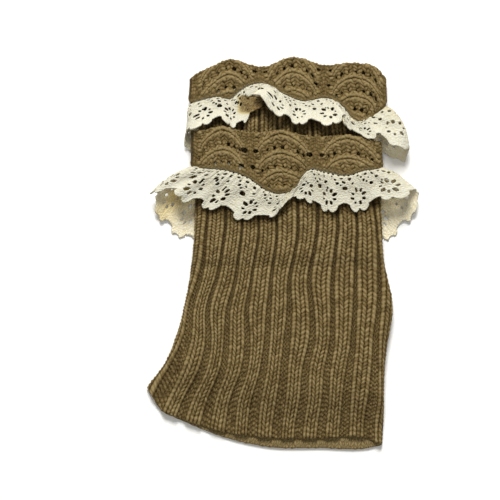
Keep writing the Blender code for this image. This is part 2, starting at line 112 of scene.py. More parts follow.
# One row for each place along a tube: the left and right edges of the flat tube
OUTER_TUBE_EDGES = np.array([
    # along, left_x, left_y, right_x, right_y
    (0.00, -61.0, 82.0, 62.0, 74.0),
    (0.10, -61.0, 63.0, 63.0, 60.0),
    (0.20, -60.5, 44.0, 64.0, 43.5),
    (0.27, -60.5, 31.0, 64.5, 30.0),
    (0.44, -61.5, 6.0, 66.5, -5.0),
    (0.58, -64.0, -16.0, 72.5, -38.0),
    (0.70, -68.0, -37.0, 68.0, -66.0),
    (0.80, -72.5, -54.0, 66.5, -87.0),
    (0.90, -80.5, -74.0, 66.5, -108.0),
    (1.00, -93.5, -92.0, 65.5, -130.5),
])
INNER_TUBE_EDGES = np.array([
    # along, left_x, left_y, right_x, right_y
    (0.00, -62.0, 117.0, 65.5, 117.0),
    (0.10, -62.0, 100.0, 65.0, 100.0),
    (0.17, -58.4, 88.0, 59.4, 88.0),
    (0.26, -58.4, 72.0, 59.8, 72.0),
    (0.42, -58.0, 44.0, 60.8, 42.0),
    (0.58, -58.0, 19.0, 61.5, 10.0),
    (0.75, -58.8, -8.0, 63.5, -32.0),
    (0.88, -61.0, -28.0, 64.0, -59.0),
    (1.00, -65.0, -47.0, 62.0, -84.0),
])

# One row for each place across a tube: how far its top rises over, and its hem sags under, the
# straight line between the two edges
OUTER_TUBE_BOWS = np.array([
    # across, top_rise, front_sag, back_sag
    (0.00, 0.0, 0.0, 0.0),
    (0.02, 0.3, 5.5, 5.0),
    (0.05, 0.6, 11.7, 11.5),
    (0.12, 1.0, 14.5, 15.5),
    (0.20, 1.3, 16.0, 18.0),
    (0.31, 1.5, 16.8, 20.5),
    (0.43, 1.0, 15.5, 21.0),
    (0.52, 1.5, 13.5, 20.0),
    (0.73, 1.3, 6.0, 12.5),
    (0.97, 0.3, -1.5, 2.5),
    (1.00, 0.0, 0.0, 0.0),
])
INNER_TUBE_BOWS = np.array([
    # across, top_rise, front_sag, back_sag
    (0.00, 0.0, 0.0, 0.0),
    (0.05, 4.5, 8.0, 8.0),
    (0.12, 8.5, 11.0, 12.0),
    (0.20, 13.0, 12.5, 14.0),
    (0.31, 9.5, 13.0, 15.0),
    (0.37, 8.3, 12.5, 15.0),
    (0.52, 14.5, 10.0, 13.0),
    (0.68, 9.5, 6.0, 9.0),
    (0.85, 10.5, 2.0, 4.0),
    (0.95, 7.0, 0.0, 1.0),
    (1.00, 0.0, 0.0, 0.0),
])

# One row for each height up the legs: the x of the middle lines of the ten valleys between the outer
# tube's ribs in front
OUTER_TUBE_VALLEYS = np.array([
    # y, x of valleys one to ten
    (-130.0, -94.0, -75.0, -56.5, -38.5, -23.0, -5.0, 9.0, 25.0, 39.5, 57.5),
    (-116.5, -92.0, -73.0, -55.5, -37.5, -22.5, -4.5, 9.5, 25.5, 40.0, 58.0),
    (-99.5, -85.5, -67.5, -50.5, -35.5, -20.5, -3.5, 12.0, 27.0, 41.0, 60.0),
    (-79.0, -74.5, -56.0, -42.5, -28.5, -15.5, -1.5, 14.0, 28.0, 43.0, 60.0),
    (-59.0, -66.5, -52.0, -40.0, -25.5, -12.0, 1.0, 18.5, 31.5, 46.0, 61.0),
    (-38.5, -64.5, -52.5, -38.5, -26.0, -11.5, 3.0, 18.5, 33.0, 47.5, 63.5),
    (-18.0, -58.5, -47.5, -34.5, -23.5, -10.0, 3.0, 16.0, 32.5, 47.5, 64.5),
    (16.0, -53.5, -41.0, -29.5, -18.5, -6.0, 8.0, 21.5, 35.0, 48.5, 61.5),
    (70.0, -54.0, -42.0, -31.0, -20.0, -8.0, 5.0, 17.5, 30.0, 42.0, 54.5),
])

# One row for each lobe or notch across a cuff: its top edge over the tube's top, and its lower edge
OUTER_CUFF_EDGES = np.array([
    # across, top_over_tube, front_edge_y, back_edge_y
    (0.00, 1.5, 58.5, 58.5),
    (0.08, 1.8, 58.5, 52.0),
    (0.18, 3.0, 57.5, 50.0),
    (0.30, 1.5, 52.0, 49.0),
    (0.38, 2.0, 44.5, 48.0),
    (0.46, 3.0, 41.5, 48.5),
    (0.52, 2.0, 43.5, 48.0),
    (0.61, 1.3, 57.5, 49.0),
    (0.70, 1.8, 56.5, 48.0),
    (0.81, 2.5, 54.0, 49.0),
    (0.91, 2.0, 57.5, 52.0),
    (1.00, 1.5, 58.0, 58.0),
])
INNER_CUFF_EDGES = np.array([
    # across, top_over_tube, front_edge_y, back_edge_y
    (0.00, 1.5, 103.0, 103.0),
    (0.06, 1.5, 105.5, 101.0),
    (0.13, 1.5, 107.5, 98.0),
    (0.21, 1.5, 106.5, 97.0),
    (0.26, 1.5, 112.5, 97.5),
    (0.33, 1.5, 116.5, 97.0),
    (0.40, 1.5, 115.5, 97.5),
    (0.47, 1.5, 110.0, 97.0),
    (0.58, 1.5, 104.5, 96.5),
    (0.70, 1.5, 106.5, 97.0),
    (0.78, 1.5, 101.0, 96.5),
    (0.84, 1.5, 94.0, 97.0),
    (0.91, 1.5, 90.5, 97.0),
    (0.96, 1.5, 95.0, 98.0),
    (1.00, 1.5, 101.0, 101.0),
])

# One row for each crest, trough or turn of a ruffle's hem.  Seam runs once round the leg: 0 to 1
# across the front from the left edge to the right one, and 1 to 2 across the back to the left edge.
OUTER_RUFFLE_FOLDS = np.array([
    # seam, hem_x, hem_y, hem_height
    (0.000, -91.5, 37.0, 8.0),
    (0.060, -85.5, 41.0, 13.5),
    (0.110, -76.5, 41.0, 16.5),
    (0.160, -69.5, 34.5, 15.0),
    (0.200, -61.0, 33.5, 14.5),
    (0.250, -53.5, 29.5, 12.8),
    (0.300, -44.5, 29.0, 14.2),
    (0.350, -33.5, 23.0, 12.6),
    (0.400, -23.5, 23.0, 13.4),
    (0.445, -10.5, 24.0, 15.5),
    (0.485, -3.0, 30.0, 18.2),
    (0.515, 0.8, 34.5, 19.2),
    (0.540, 3.2, 36.5, 18.0),
    (0.565, 5.2, 36.5, 15.6),
    (0.620, 12.0, 36.5, 14.2),
    (0.690, 23.0, 29.5, 12.8),
    (0.750, 32.5, 28.0, 13.8),
    (0.800, 40.5, 30.5, 14.6),
    (0.850, 48.0, 28.0, 12.8),
    (0.900, 57.5, 31.0, 13.8),
    (0.940, 66.5, 36.0, 16.5),
    (0.975, 78.0, 37.0, 15.0),
    (1.000, 92.5, 39.0, 9.0),
    (1.030, 88.5, 28.0, 4.0),
    (1.080, 81.0, 17.0, 1.2),
    (1.130, 71.0, 9.5, 0.5),
    (1.200, 62.0, 3.0, 0.5),
    (1.350, 40.5, 3.5, 0.5),
    (1.500, 1.5, 2.0, 0.5),
    (1.650, -34.5, 3.5, 0.5),
    (1.800, -58.0, 3.0, 0.5),
    (1.870, -69.0, 9.0, 0.5),
    (1.925, -80.0, 16.0, 1.2),
    (1.970, -88.0, 26.5, 4.0),
])
INNER_RUFFLE_FOLDS = np.array([
    # seam, hem_x, hem_y, hem_height
    (0.000, -68.5, 78.0, 8.0),
    (0.025, -67.0, 80.0, 14.0),
    (0.060, -60.0, 84.5, 18.0),
    (0.110, -51.5, 87.5, 17.4),
    (0.160, -45.0, 91.0, 18.4),
    (0.210, -37.5, 85.5, 17.5),
    (0.260, -29.5, 86.0, 16.8),
    (0.310, -22.5, 95.5, 14.2),
    (0.350, -15.5, 100.5, 13.6),
    (0.372, -18.5, 104.5, 16.0),
    (0.392, -24.5, 106.5, 19.2),
    (0.418, -18.0, 106.0, 22.4),
    (0.460, -10.0, 95.5, 22.0),
    (0.510, 0.5, 91.0, 20.6),
    (0.560, 10.0, 86.5, 20.0),
    (0.610, 18.0, 89.0, 21.2),
    (0.660, 26.0, 86.0, 20.8),
    (0.700, 34.5, 87.5, 22.2),
    (0.735, 41.0, 91.5, 23.8),
    (0.765, 40.2, 88.5, 20.8),
    (0.795, 42.0, 84.0, 18.0),
    (0.845, 49.5, 80.5, 17.8),
    (0.885, 57.5, 77.0, 17.8),
    (0.925, 63.5, 78.5, 18.8),
    (0.957, 71.0, 74.0, 16.8),
    (0.982, 78.0, 71.0, 13.5),
    (1.000, 83.0, 69.5, 9.0),
    (1.030, 83.5, 63.0, 4.0),
    (1.090, 73.5, 65.0, 1.0),
    (1.200, 55.0, 68.0, 0.5),
    (1.350, 34.0, 69.5, 0.5),
    (1.500, 3.0, 69.0, 0.5),
    (1.650, -27.5, 69.5, 0.5),
    (1.800, -50.0, 68.5, 0.5),
    (1.920, -64.0, 69.5, 0.8),
    (1.970, -68.5, 73.5, 3.5),
])


class Side(Enum):
    """Which leg warmer a piece belongs to."""

    OUTER = "outer"
    INNER = "inner"


class Slot(Enum):
    """Material slots of the record."""

    RIB = "rib_knit"
    FAN = "fan_knit"
    LACE = "cotton_lace"


def smooth_step(value: Array, low: float, high: float) -> Array:
    """Rise smoothly from 0 at low to 1 at high, with level ends."""
    share = np.clip((value - low) / (high - low), 0.0, 1.0)
    return share * share * (3.0 - 2.0 * share)


def bell(value: Array, width: float) -> Array:
    """A bell curve, 1 at 0 and about a third at width."""
    return np.exp(-((value / width) ** 2))


def scatter(first: Array, second: Array | float, seed: float) -> Array:
    """Even scatter from 0 to 1 for whole numbers, the fraction of a large multiple of a sine."""
    mixed = np.sin(first * 12.9898 + second * 78.233 + seed * 37.719) * 43758.5453
    return mixed - np.floor(mixed)


def share_behind(seam: Array, turn: tuple[float, float], end: tuple[float, float]) -> Array:
    """How much of each point is behind the leg, 0 to 1, with a soft turn at the right and left side.

    Args:
        seam: Places round the leg, 0 to 1 over the front and 1 to 2 back under it.
        turn: Where the right side's turn starts and ends.
        end: Where the left side's turn starts and ends.

    Returns:
        The share behind, for each place.
    """
    return smooth_step(seam, *turn) * (1 - smooth_step(seam, *end))


def read_smoothly(table: Array, column: int, places: Array) -> Array:
    """Read one column of a table at any places, on a smooth curve through its rows.

    Each stretch between two rows is a cubic whose slope at a row is that of the line between the
    row's neighbours.  The first column of the table holds the places of its rows.
    """
    keys = table[:, 0]
    values = table[:, column]
    slopes = np.gradient(values, keys)
    index = np.clip(np.searchsorted(keys, places, side="right") - 1, 0, len(keys) - 2)
    length = keys[index + 1] - keys[index]
    share = (places - keys[index]) / length
    start = values[index] * (1 + 2 * share) * (1 - share) ** 2
    start_slope = slopes[index] * length * share * (1 - share) ** 2
    end = values[index + 1] * share ** 2 * (3 - 2 * share)
    end_slope = slopes[index + 1] * length * share ** 2 * (share - 1)
    return start + start_slope + end + end_slope


def read_round(table: Array, column: int, places: Array) -> Array:
    """Read one column of a table that runs once round the leg, over seam places from 0 to 2."""
    before = table[-3:].copy()
    before[:, 0] -= 2.0
    after = table[:3].copy()
    after[:, 0] += 2.0
    return read_smoothly(np.vstack([before, table, after]), column, places)


def linear(colour: str) -> tuple[float, float, float, float]:
    """Linear colour, with full alpha, of an sRGB hex value such as 7F6A45."""
    shares = [int(colour[place:place + 2], 16) / 255 for place in (0, 2, 4)]
    red, green, blue = (
        share / 12.92 if share <= 0.04045 else ((share + 0.055) / 1.055) ** 2.4
        for share in shares)
    return red, green, blue, 1.0


def add_node(
    tree: bpy.types.NodeTree,
    kind: str,
    settings: dict[str, object] | None = None,
    inputs: dict[str | int, object] | None = None,
) -> bpy.types.Node:
    """Add one node to a tree.

    Args:
        tree: The material's node tree.
        kind: Blender's name of the node.
        settings: Properties of the node to set.
        inputs: Values for its sockets, or the output sockets to link to them.

    Returns:
        The new node.
    """
    node = tree.nodes.new(kind)
    for name, value in (settings or {}).items():
        setattr(node, name, value)
    for name, value in (inputs or {}).items():
        if isinstance(value, bpy.types.NodeSocket):
            tree.links.new(value, node.inputs[name])
        else:
            node.inputs[name].default_value = value
    return node


@dataclass(frozen=True)
class TanAcrylicKnit:
    """Matte tan acrylic yarn, spun and knitted.

    The eye sees a soft yarn with a faint halo of fibres, flecked from strand to strand.  Its colour
    is much darker down between the stitches than on top of them, as painted shade there and painted
    light on top.  Where no single stitch is raised in the mesh, behind and inside, the finish draws
    plain knit stitches on the stitch places, with the same painted shade and light.

    Attributes:
        name: Name of the material.
        painted_top_light: Colour on top of a stitch, painted light.
        body: Colour on its side.
        painted_crevice_shade: Colour between stitches, painted shade.
        fleck: Colour of the paler strands.
        body_place: Height, from 0 to 1, at which a stitch has its side's colour.
        most_fleck: Most of the flecks' colour that is mixed in.
        roughness: Roughness of the yarn.
        sheen: Weight of the sheen, which stands for the fuzz.
        sheen_roughness: Roughness of the sheen.
        sheen_tint: Colour of the sheen.
        specular: Specular level of the yarn.
        fibre_pitch_mm: Size of the fibres' noise.
        fibre_mm: Height of the fibres' bump.
        drawn_mm: Height of the drawn stitches' bump.
        halo_pitch_mm: Size of the noise that breaks the tone.
        halo_share: How far that noise moves the tone along its ramp.
        strand_pitch_mm: Size of the noise of the paler strands.
        leg_lean: Share of a row by which a drawn stitch's legs lean.
    """

    name: str = "tan_yarn_knitted"
    painted_top_light: str = "8D7C57"
    body: str = "665532"
    painted_crevice_shade: str = "1E1203"
    fleck: str = "A2916C"
    body_place: float = 0.45
    most_fleck: float = 0.3
    roughness: float = 0.95
    sheen: float = 0.12
    sheen_roughness: float = 0.6
    sheen_tint: str = "B49C66"
    specular: float = 0.1
    fibre_pitch_mm: float = 0.35
    fibre_mm: float = 0.25
    drawn_mm: float = 0.9
    halo_pitch_mm: float = 0.8
    halo_share: float = 0.9
    strand_pitch_mm: float = 4.0
    leg_lean: float = 0.9

    def drawn_stitches(self, tree: bpy.types.NodeTree) -> bpy.types.NodeSocket:
        """Height of drawn knit stitches, from 0 to 1.

        Two legs a stitch are the absolute sine of twice its turn across.  Each leg is beaded by
        the absolute sine of half a turn along it, which leans from the stitch's middle line.
        """
        places = add_node(tree, "ShaderNodeUVMap", {"uv_map": "stitches"})
        split = add_node(tree, "ShaderNodeSeparateXYZ", None, {"Vector": places.outputs["UV"]})
        turn = add_node(tree, "ShaderNodeMath", {"operation": "MULTIPLY"}, {
            0: split.outputs["X"], 1: 2 * np.pi})
        wave = add_node(tree, "ShaderNodeMath", {"operation": "SINE"}, {0: turn.outputs[0]})
        legs = add_node(tree, "ShaderNodeMath", {"operation": "ABSOLUTE"}, {0: wave.outputs[0]})
        from_middle = add_node(tree, "ShaderNodeMath", {"operation": "PINGPONG"}, {
            0: split.outputs["X"], 1: 0.5})
        leaned = add_node(tree, "ShaderNodeMath", {"operation": "MULTIPLY_ADD"}, {
            0: from_middle.outputs[0], 1: 2 * self.leg_lean, 2: split.outputs["Y"]})
        half_turn = add_node(tree, "ShaderNodeMath", {"operation": "MULTIPLY"}, {
            0: leaned.outputs[0], 1: np.pi})
        swing = add_node(tree, "ShaderNodeMath", {"operation": "SINE"}, {0: half_turn.outputs[0]})
        bead = add_node(tree, "ShaderNodeMath", {"operation": "ABSOLUTE"}, {0: swing.outputs[0]})
        height = add_node(tree, "ShaderNodeMath", {"operation": "MULTIPLY"}, {
            0: legs.outputs[0], 1: bead.outputs[0]})
        return height.outputs[0]

    def tone(
        self, tree: bpy.types.NodeTree, height: bpy.types.NodeSocket, place: bpy.types.NodeSocket,
    ) -> bpy.types.NodeSocket:
        """Base colour: painted shade and light on a ramp over the height, broken by the halo, with flecks
        on top of the yarn.

        Args:
            tree: The material's node tree.
            height: Height of the stitches, from 0 to 1, which sets their painted shade and light.
            place: Object coordinates.

        Returns:
            The colour's socket.
        """
        halo = add_node(tree, "ShaderNodeTexNoise", None, {
            "Vector": place, "Scale": 1.0 / (self.halo_pitch_mm * MM), "Detail": 1.0, "Roughness": 0.6})
        halo_part = add_node(tree, "ShaderNodeMath", {"operation": "MULTIPLY_ADD"}, {
            0: halo.outputs["Fac"], 1: self.halo_share, 2: -0.5 * self.halo_share})
        broken = add_node(tree, "ShaderNodeMath", {"operation": "ADD"}, {
            0: height, 1: halo_part.outputs[0]})
        # Ramp from painted shade between the stitches, through the yarn's own colour, to painted light on
        # top
        tone = add_node(tree, "ShaderNodeValToRGB", None, {"Fac": broken.outputs[0]})
        ramp = tone.color_ramp
        ramp.elements[0].color = linear(self.painted_crevice_shade)
        ramp.elements[1].color = linear(self.painted_top_light)
        middle = ramp.elements.new(self.body_place)
        middle.color = linear(self.body)
        strands = add_node(tree, "ShaderNodeTexNoise", None, {
            "Vector": place, "Scale": 1.0 / (self.strand_pitch_mm * MM), "Detail": 4.0, "Roughness": 0.75})
        fleck_share = add_node(tree, "ShaderNodeMapRange", None, {
            "Value": strands.outputs["Fac"], "From Min": 0.5, "From Max": 0.75,
            "To Min": 0.0, "To Max": self.most_fleck})
        fleck_shown = add_node(tree, "ShaderNodeMath", {"operation": "MULTIPLY"}, {
            0: fleck_share.outputs["Result"], 1: height})
        flecked = add_node(tree, "ShaderNodeMix", {"data_type": "RGBA"}, {
            0: fleck_shown.outputs[0], 6: tone.outputs["Color"], 7: linear(self.fleck)})
        return flecked.outputs[2]

    def make(self) -> bpy.types.Material:
        """Build the yarn's material, whose base tone follows the height of each stitch as painted shade
        and light.
        """
        material = bpy.data.materials.new(self.name)
        material.use_nodes = True
        tree = material.node_tree
        shader = tree.nodes["Principled BSDF"]
        # Tone of the raised stitches from the mesh, with their painted shade
        raised = add_node(tree, "ShaderNodeAttribute", {"attribute_name": "yarn_tone_and_painted_shade"})
        drawn = add_node(tree, "ShaderNodeAttribute", {"attribute_name": "drawn_share"})
        stitches = self.drawn_stitches(tree)
        height = add_node(tree, "ShaderNodeMix", {"data_type": "FLOAT"}, {
            0: drawn.outputs["Fac"], 2: raised.outputs["Fac"], 3: stitches})
        place = add_node(tree, "ShaderNodeTexCoord").outputs["Object"]
        tree.links.new(self.tone(tree, height.outputs[0], place), shader.inputs["Base Color"])
        fibres = add_node(tree, "ShaderNodeTexNoise", None, {
            "Vector": place, "Scale": 1.0 / (self.fibre_pitch_mm * MM), "Detail": 2.0})
        drawn_height = add_node(tree, "ShaderNodeMath", {"operation": "MULTIPLY"}, {
            0: drawn.outputs["Fac"], 1: stitches})
        stitch_bump = add_node(tree, "ShaderNodeBump", None, {
            "Height": drawn_height.outputs[0], "Distance": self.drawn_mm * MM, "Strength": 1.0})
        bump = add_node(tree, "ShaderNodeBump", None, {
            "Height": fibres.outputs["Fac"], "Distance": self.fibre_mm * MM, "Strength": 0.8,
            "Normal": stitch_bump.outputs["Normal"]})
        tree.links.new(bump.outputs["Normal"], shader.inputs["Normal"])
        shader.inputs["Roughness"].default_value = self.roughness
        shader.inputs["Sheen Weight"].default_value = self.sheen
        shader.inputs["Sheen Roughness"].default_value = self.sheen_roughness
        shader.inputs["Sheen Tint"].default_value = linear(self.sheen_tint)
        shader.inputs["Specular IOR Level"].default_value = self.specular
        return material


@dataclass(frozen=True)
class CottonLaceThread:
    """Unbleached cotton thread, crocheted by machine into lace.

    The eye sees a dry cream cloth with rows of fine pebbled thread.  Painted shade makes it warmer
    toward the seam, brown deep inside its folds and darker between the pebbles.  The real thread is
    about 0.5 mm thick, which is under a pixel of the photograph, so its pebbles are drawn twice as
    coarse.

    Attributes:
        name: Name of the material.
        thread: Colour of the lace in the light.
        hollow: Colour half way into the painted shade, and between pebbles.
        deep: Colour of the painted shade deep inside a fold.
        roughness: Roughness of the thread.
        sheen: Weight of its sheen.
        specular: Its specular level.
        pebble_mm: Size of a pebble along and down the lace.
        pebble_height_mm: Height of the pebbles' bump.
    """

    name: str = "cream_cotton_lace"
    thread: str = "C6C5B6"
    hollow: str = "A99A6E"
    deep: str = "523C18"
    roughness: float = 0.9
    sheen: float = 0.05
    specular: float = 0.15
    pebble_mm: tuple[float, float] = (1.1, 0.95)
    pebble_height_mm: float = 0.5

    def make(self) -> bpy.types.Material:
        """Build the thread's material, whose tone is deeper toward the seam and in the folds, as painted
        shade.
        """
        material = bpy.data.materials.new(self.name)
        material.use_nodes = True
        tree = material.node_tree
        shader = tree.nodes["Principled BSDF"]
        # Painted shade from the mesh: toward the seam, behind the leg and in the deep folds
        depth = add_node(tree, "ShaderNodeAttribute", {"attribute_name": "lace_shade"})
        tone = add_node(tree, "ShaderNodeValToRGB", None, {"Fac": depth.outputs["Fac"]})
        ramp = tone.color_ramp
        ramp.elements[0].color = linear(self.thread)
        ramp.elements[1].color = linear(self.deep)
        middle = ramp.elements.new(0.5)
        middle.color = linear(self.hollow)
        places = add_node(tree, "ShaderNodeUVMap", {"uv_map": "stitches"})
        size_along, size_down = self.pebble_mm
        scaled = add_node(tree, "ShaderNodeVectorMath", {"operation": "MULTIPLY"}, {
            0: places.outputs["UV"], 1: (1 / size_along, 1 / size_down, 0.0)})
        pebble = add_node(tree, "ShaderNodeTexVoronoi", None, {
            "Vector": scaled.outputs[0], "Scale": 1.0, "Randomness": 0.8})
        # Painted shade between the pebbles
        between = add_node(tree, "ShaderNodeMapRange", None, {
            "Value": pebble.outputs["Distance"], "From Min": 0.3, "From Max": 0.75,
            "To Min": 0.0, "To Max": 0.4})
        threaded = add_node(tree, "ShaderNodeMix", {"data_type": "RGBA"}, {
            0: between.outputs["Result"], 6: tone.outputs["Color"], 7: linear(self.hollow)})
        tree.links.new(threaded.outputs[2], shader.inputs["Base Color"])
        bump = add_node(tree, "ShaderNodeBump", {"invert": True}, {
            "Height": pebble.outputs["Distance"], "Distance": self.pebble_height_mm * MM,
            "Strength": 1.0})
        tree.links.new(bump.outputs["Normal"], shader.inputs["Normal"])
        shader.inputs["Roughness"].default_value = self.roughness
        shader.inputs["Sheen Weight"].default_value = self.sheen
        shader.inputs["Specular IOR Level"].default_value = self.specular
        return material


@dataclass
class GridMesh:
    """Points and faces of one piece, before they become a Blender mesh.

    Attributes:
        points: One row of x, y and z for each point, in the frame of the tables.
        faces: One row of four point numbers for each face.
        corners: UV place of each face's corners.
        tones: One value for each point, under the name that a material reads.
    """

    points: Array
    faces: Array
    corners: Array
    tones: dict[str, Array] = field(default_factory=dict)

    def make(self, name: str) -> bpy.types.Object:
        """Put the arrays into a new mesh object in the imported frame."""
        used = np.zeros(len(self.points), dtype=bool)
        used[self.faces.ravel()] = True
        number = np.cumsum(used) - 1
        points = (self.points[used] - np.array(PAIR_MIDDLE)) * MM
        faces = number[self.faces]
        mesh = bpy.data.meshes.new(name)
        mesh.vertices.add(len(points))
        mesh.vertices.foreach_set("co", points.astype(np.float32).ravel())
        mesh.loops.add(faces.size)
        mesh.loops.foreach_set("vertex_index", faces.astype(np.int32).ravel())
        mesh.polygons.add(len(faces))
        starts = np.arange(len(faces), dtype=np.int32) * 4
        mesh.polygons.foreach_set("loop_start", starts)
        mesh.uv_layers.new(name="stitches")
        mesh.uv_layers["stitches"].uv.foreach_set("vector", self.corners.astype(np.float32).ravel())
        for tone_name, values in self.tones.items():
            tone = mesh.attributes.new(tone_name, "FLOAT", "POINT")
            tone.data.foreach_set("value", values[used].astype(np.float32))
        mesh.update(calc_edges=True)
        mesh.validate()
        mesh.shade_smooth()
        piece = bpy.data.objects.new(name, mesh)
        bpy.context.scene.collection.objects.link(piece)
        return piece


def grid_faces(rows: int, columns: int, close_rows: bool) -> tuple[Array, Array]:
    """Faces of a grid that is closed round its columns.

    Returns:
        Point numbers of each face's corners, and the row and column of each corner, where the last
        column, or row, counts on past the first one.
    """
    row_count = rows if close_rows else rows - 1
    row, column = np.meshgrid(np.arange(row_count), np.arange(columns), indexing="ij")
    corner_rows = np.stack([row, row + 1, row + 1, row], axis=-1).reshape(-1, 4)
    corner_columns = np.stack([column, column, column + 1, column + 1], axis=-1).reshape(-1, 4)
    faces = (corner_rows % rows) * columns + corner_columns % columns
    return faces, np.stack([corner_rows, corner_columns], axis=-1)


def grid_normals(grid: Array) -> Array:
    """Unit normals of a grid that is closed round its columns, pointing away from the leg."""
    round_step = np.roll(grid, -1, axis=1) - np.roll(grid, 1, axis=1)
    along_step = np.gradient(grid, axis=0)
    normal = np.cross(along_step, round_step)
    return normal / np.linalg.norm(normal, axis=-1, keepdims=True)


def flat_ring(share: Array, width: Array, half: Array) -> tuple[Array, Array]:
    """Walk evenly over one panel of a flattened ring, from its left edge to its right one.

    The panel is level, and at each side turns down on a quarter of an ellipse to the ring's edge.

    Args:
        share: Places along the panel, 0 to 1.
        width: The ring's width there.
        half: Half of the ring's thickness there.

    Returns:
        The place across the ring, 0 to 1, and the height over its middle.
    """
    reach = half * EDGE_ROUNDING
    quarter = np.pi / 4 * (half + reach) * QUARTER_STRETCH
    length = width - 2 * reach + 2 * quarter
    from_side = np.minimum(share, 1 - share) * length
    angle = np.clip(from_side / quarter, 0.0, 1.0) * np.pi / 2
    distance = reach * (1 - np.cos(angle)) + np.maximum(from_side - quarter, 0.0)
    across = distance / width
    return np.where(share > 0.5, 1 - across, across), half * np.sin(angle)


def outer_tube_bottom(y: Array) -> Array:
    """Height of the outer tube's underside, over its cuff's and both ruffles' back layers."""
    over_lace = LACE_LAYER * smooth_step(y, *OVER_OUTER_LACE)
    over_cuff = CUFF_LAYER * smooth_step(y, *OVER_OUTER_CUFF)
    return over_lace + over_cuff


def outer_cuff_bottom(y: Array) -> Array:
    """Height of the outer cuff's underside, over the back of the inner leg warmer's ruffle."""
    return LACE_LAYER * smooth_step(y, *OVER_INNER_LACE)


def inner_tube_bottom(y: Array) -> Array:
    """Height of the inner tube's underside, over its own cuff or inside the outer tube."""
    inside = outer_tube_bottom(y) + RIB_LAYER
    over_cuff = CUFF_LAYER + LACE_LAYER
    return inside + (over_cuff - inside) * smooth_step(y, *INTO_OUTER_MOUTH)


def over_panel(seam: Array) -> tuple[Array, Array]:
    """Place from the left edge, 0, to the right one, 1, over a panel, and whether it is the back."""
    is_back = seam > 1.0
    return np.where(is_back, 2.0 - seam, seam), is_back


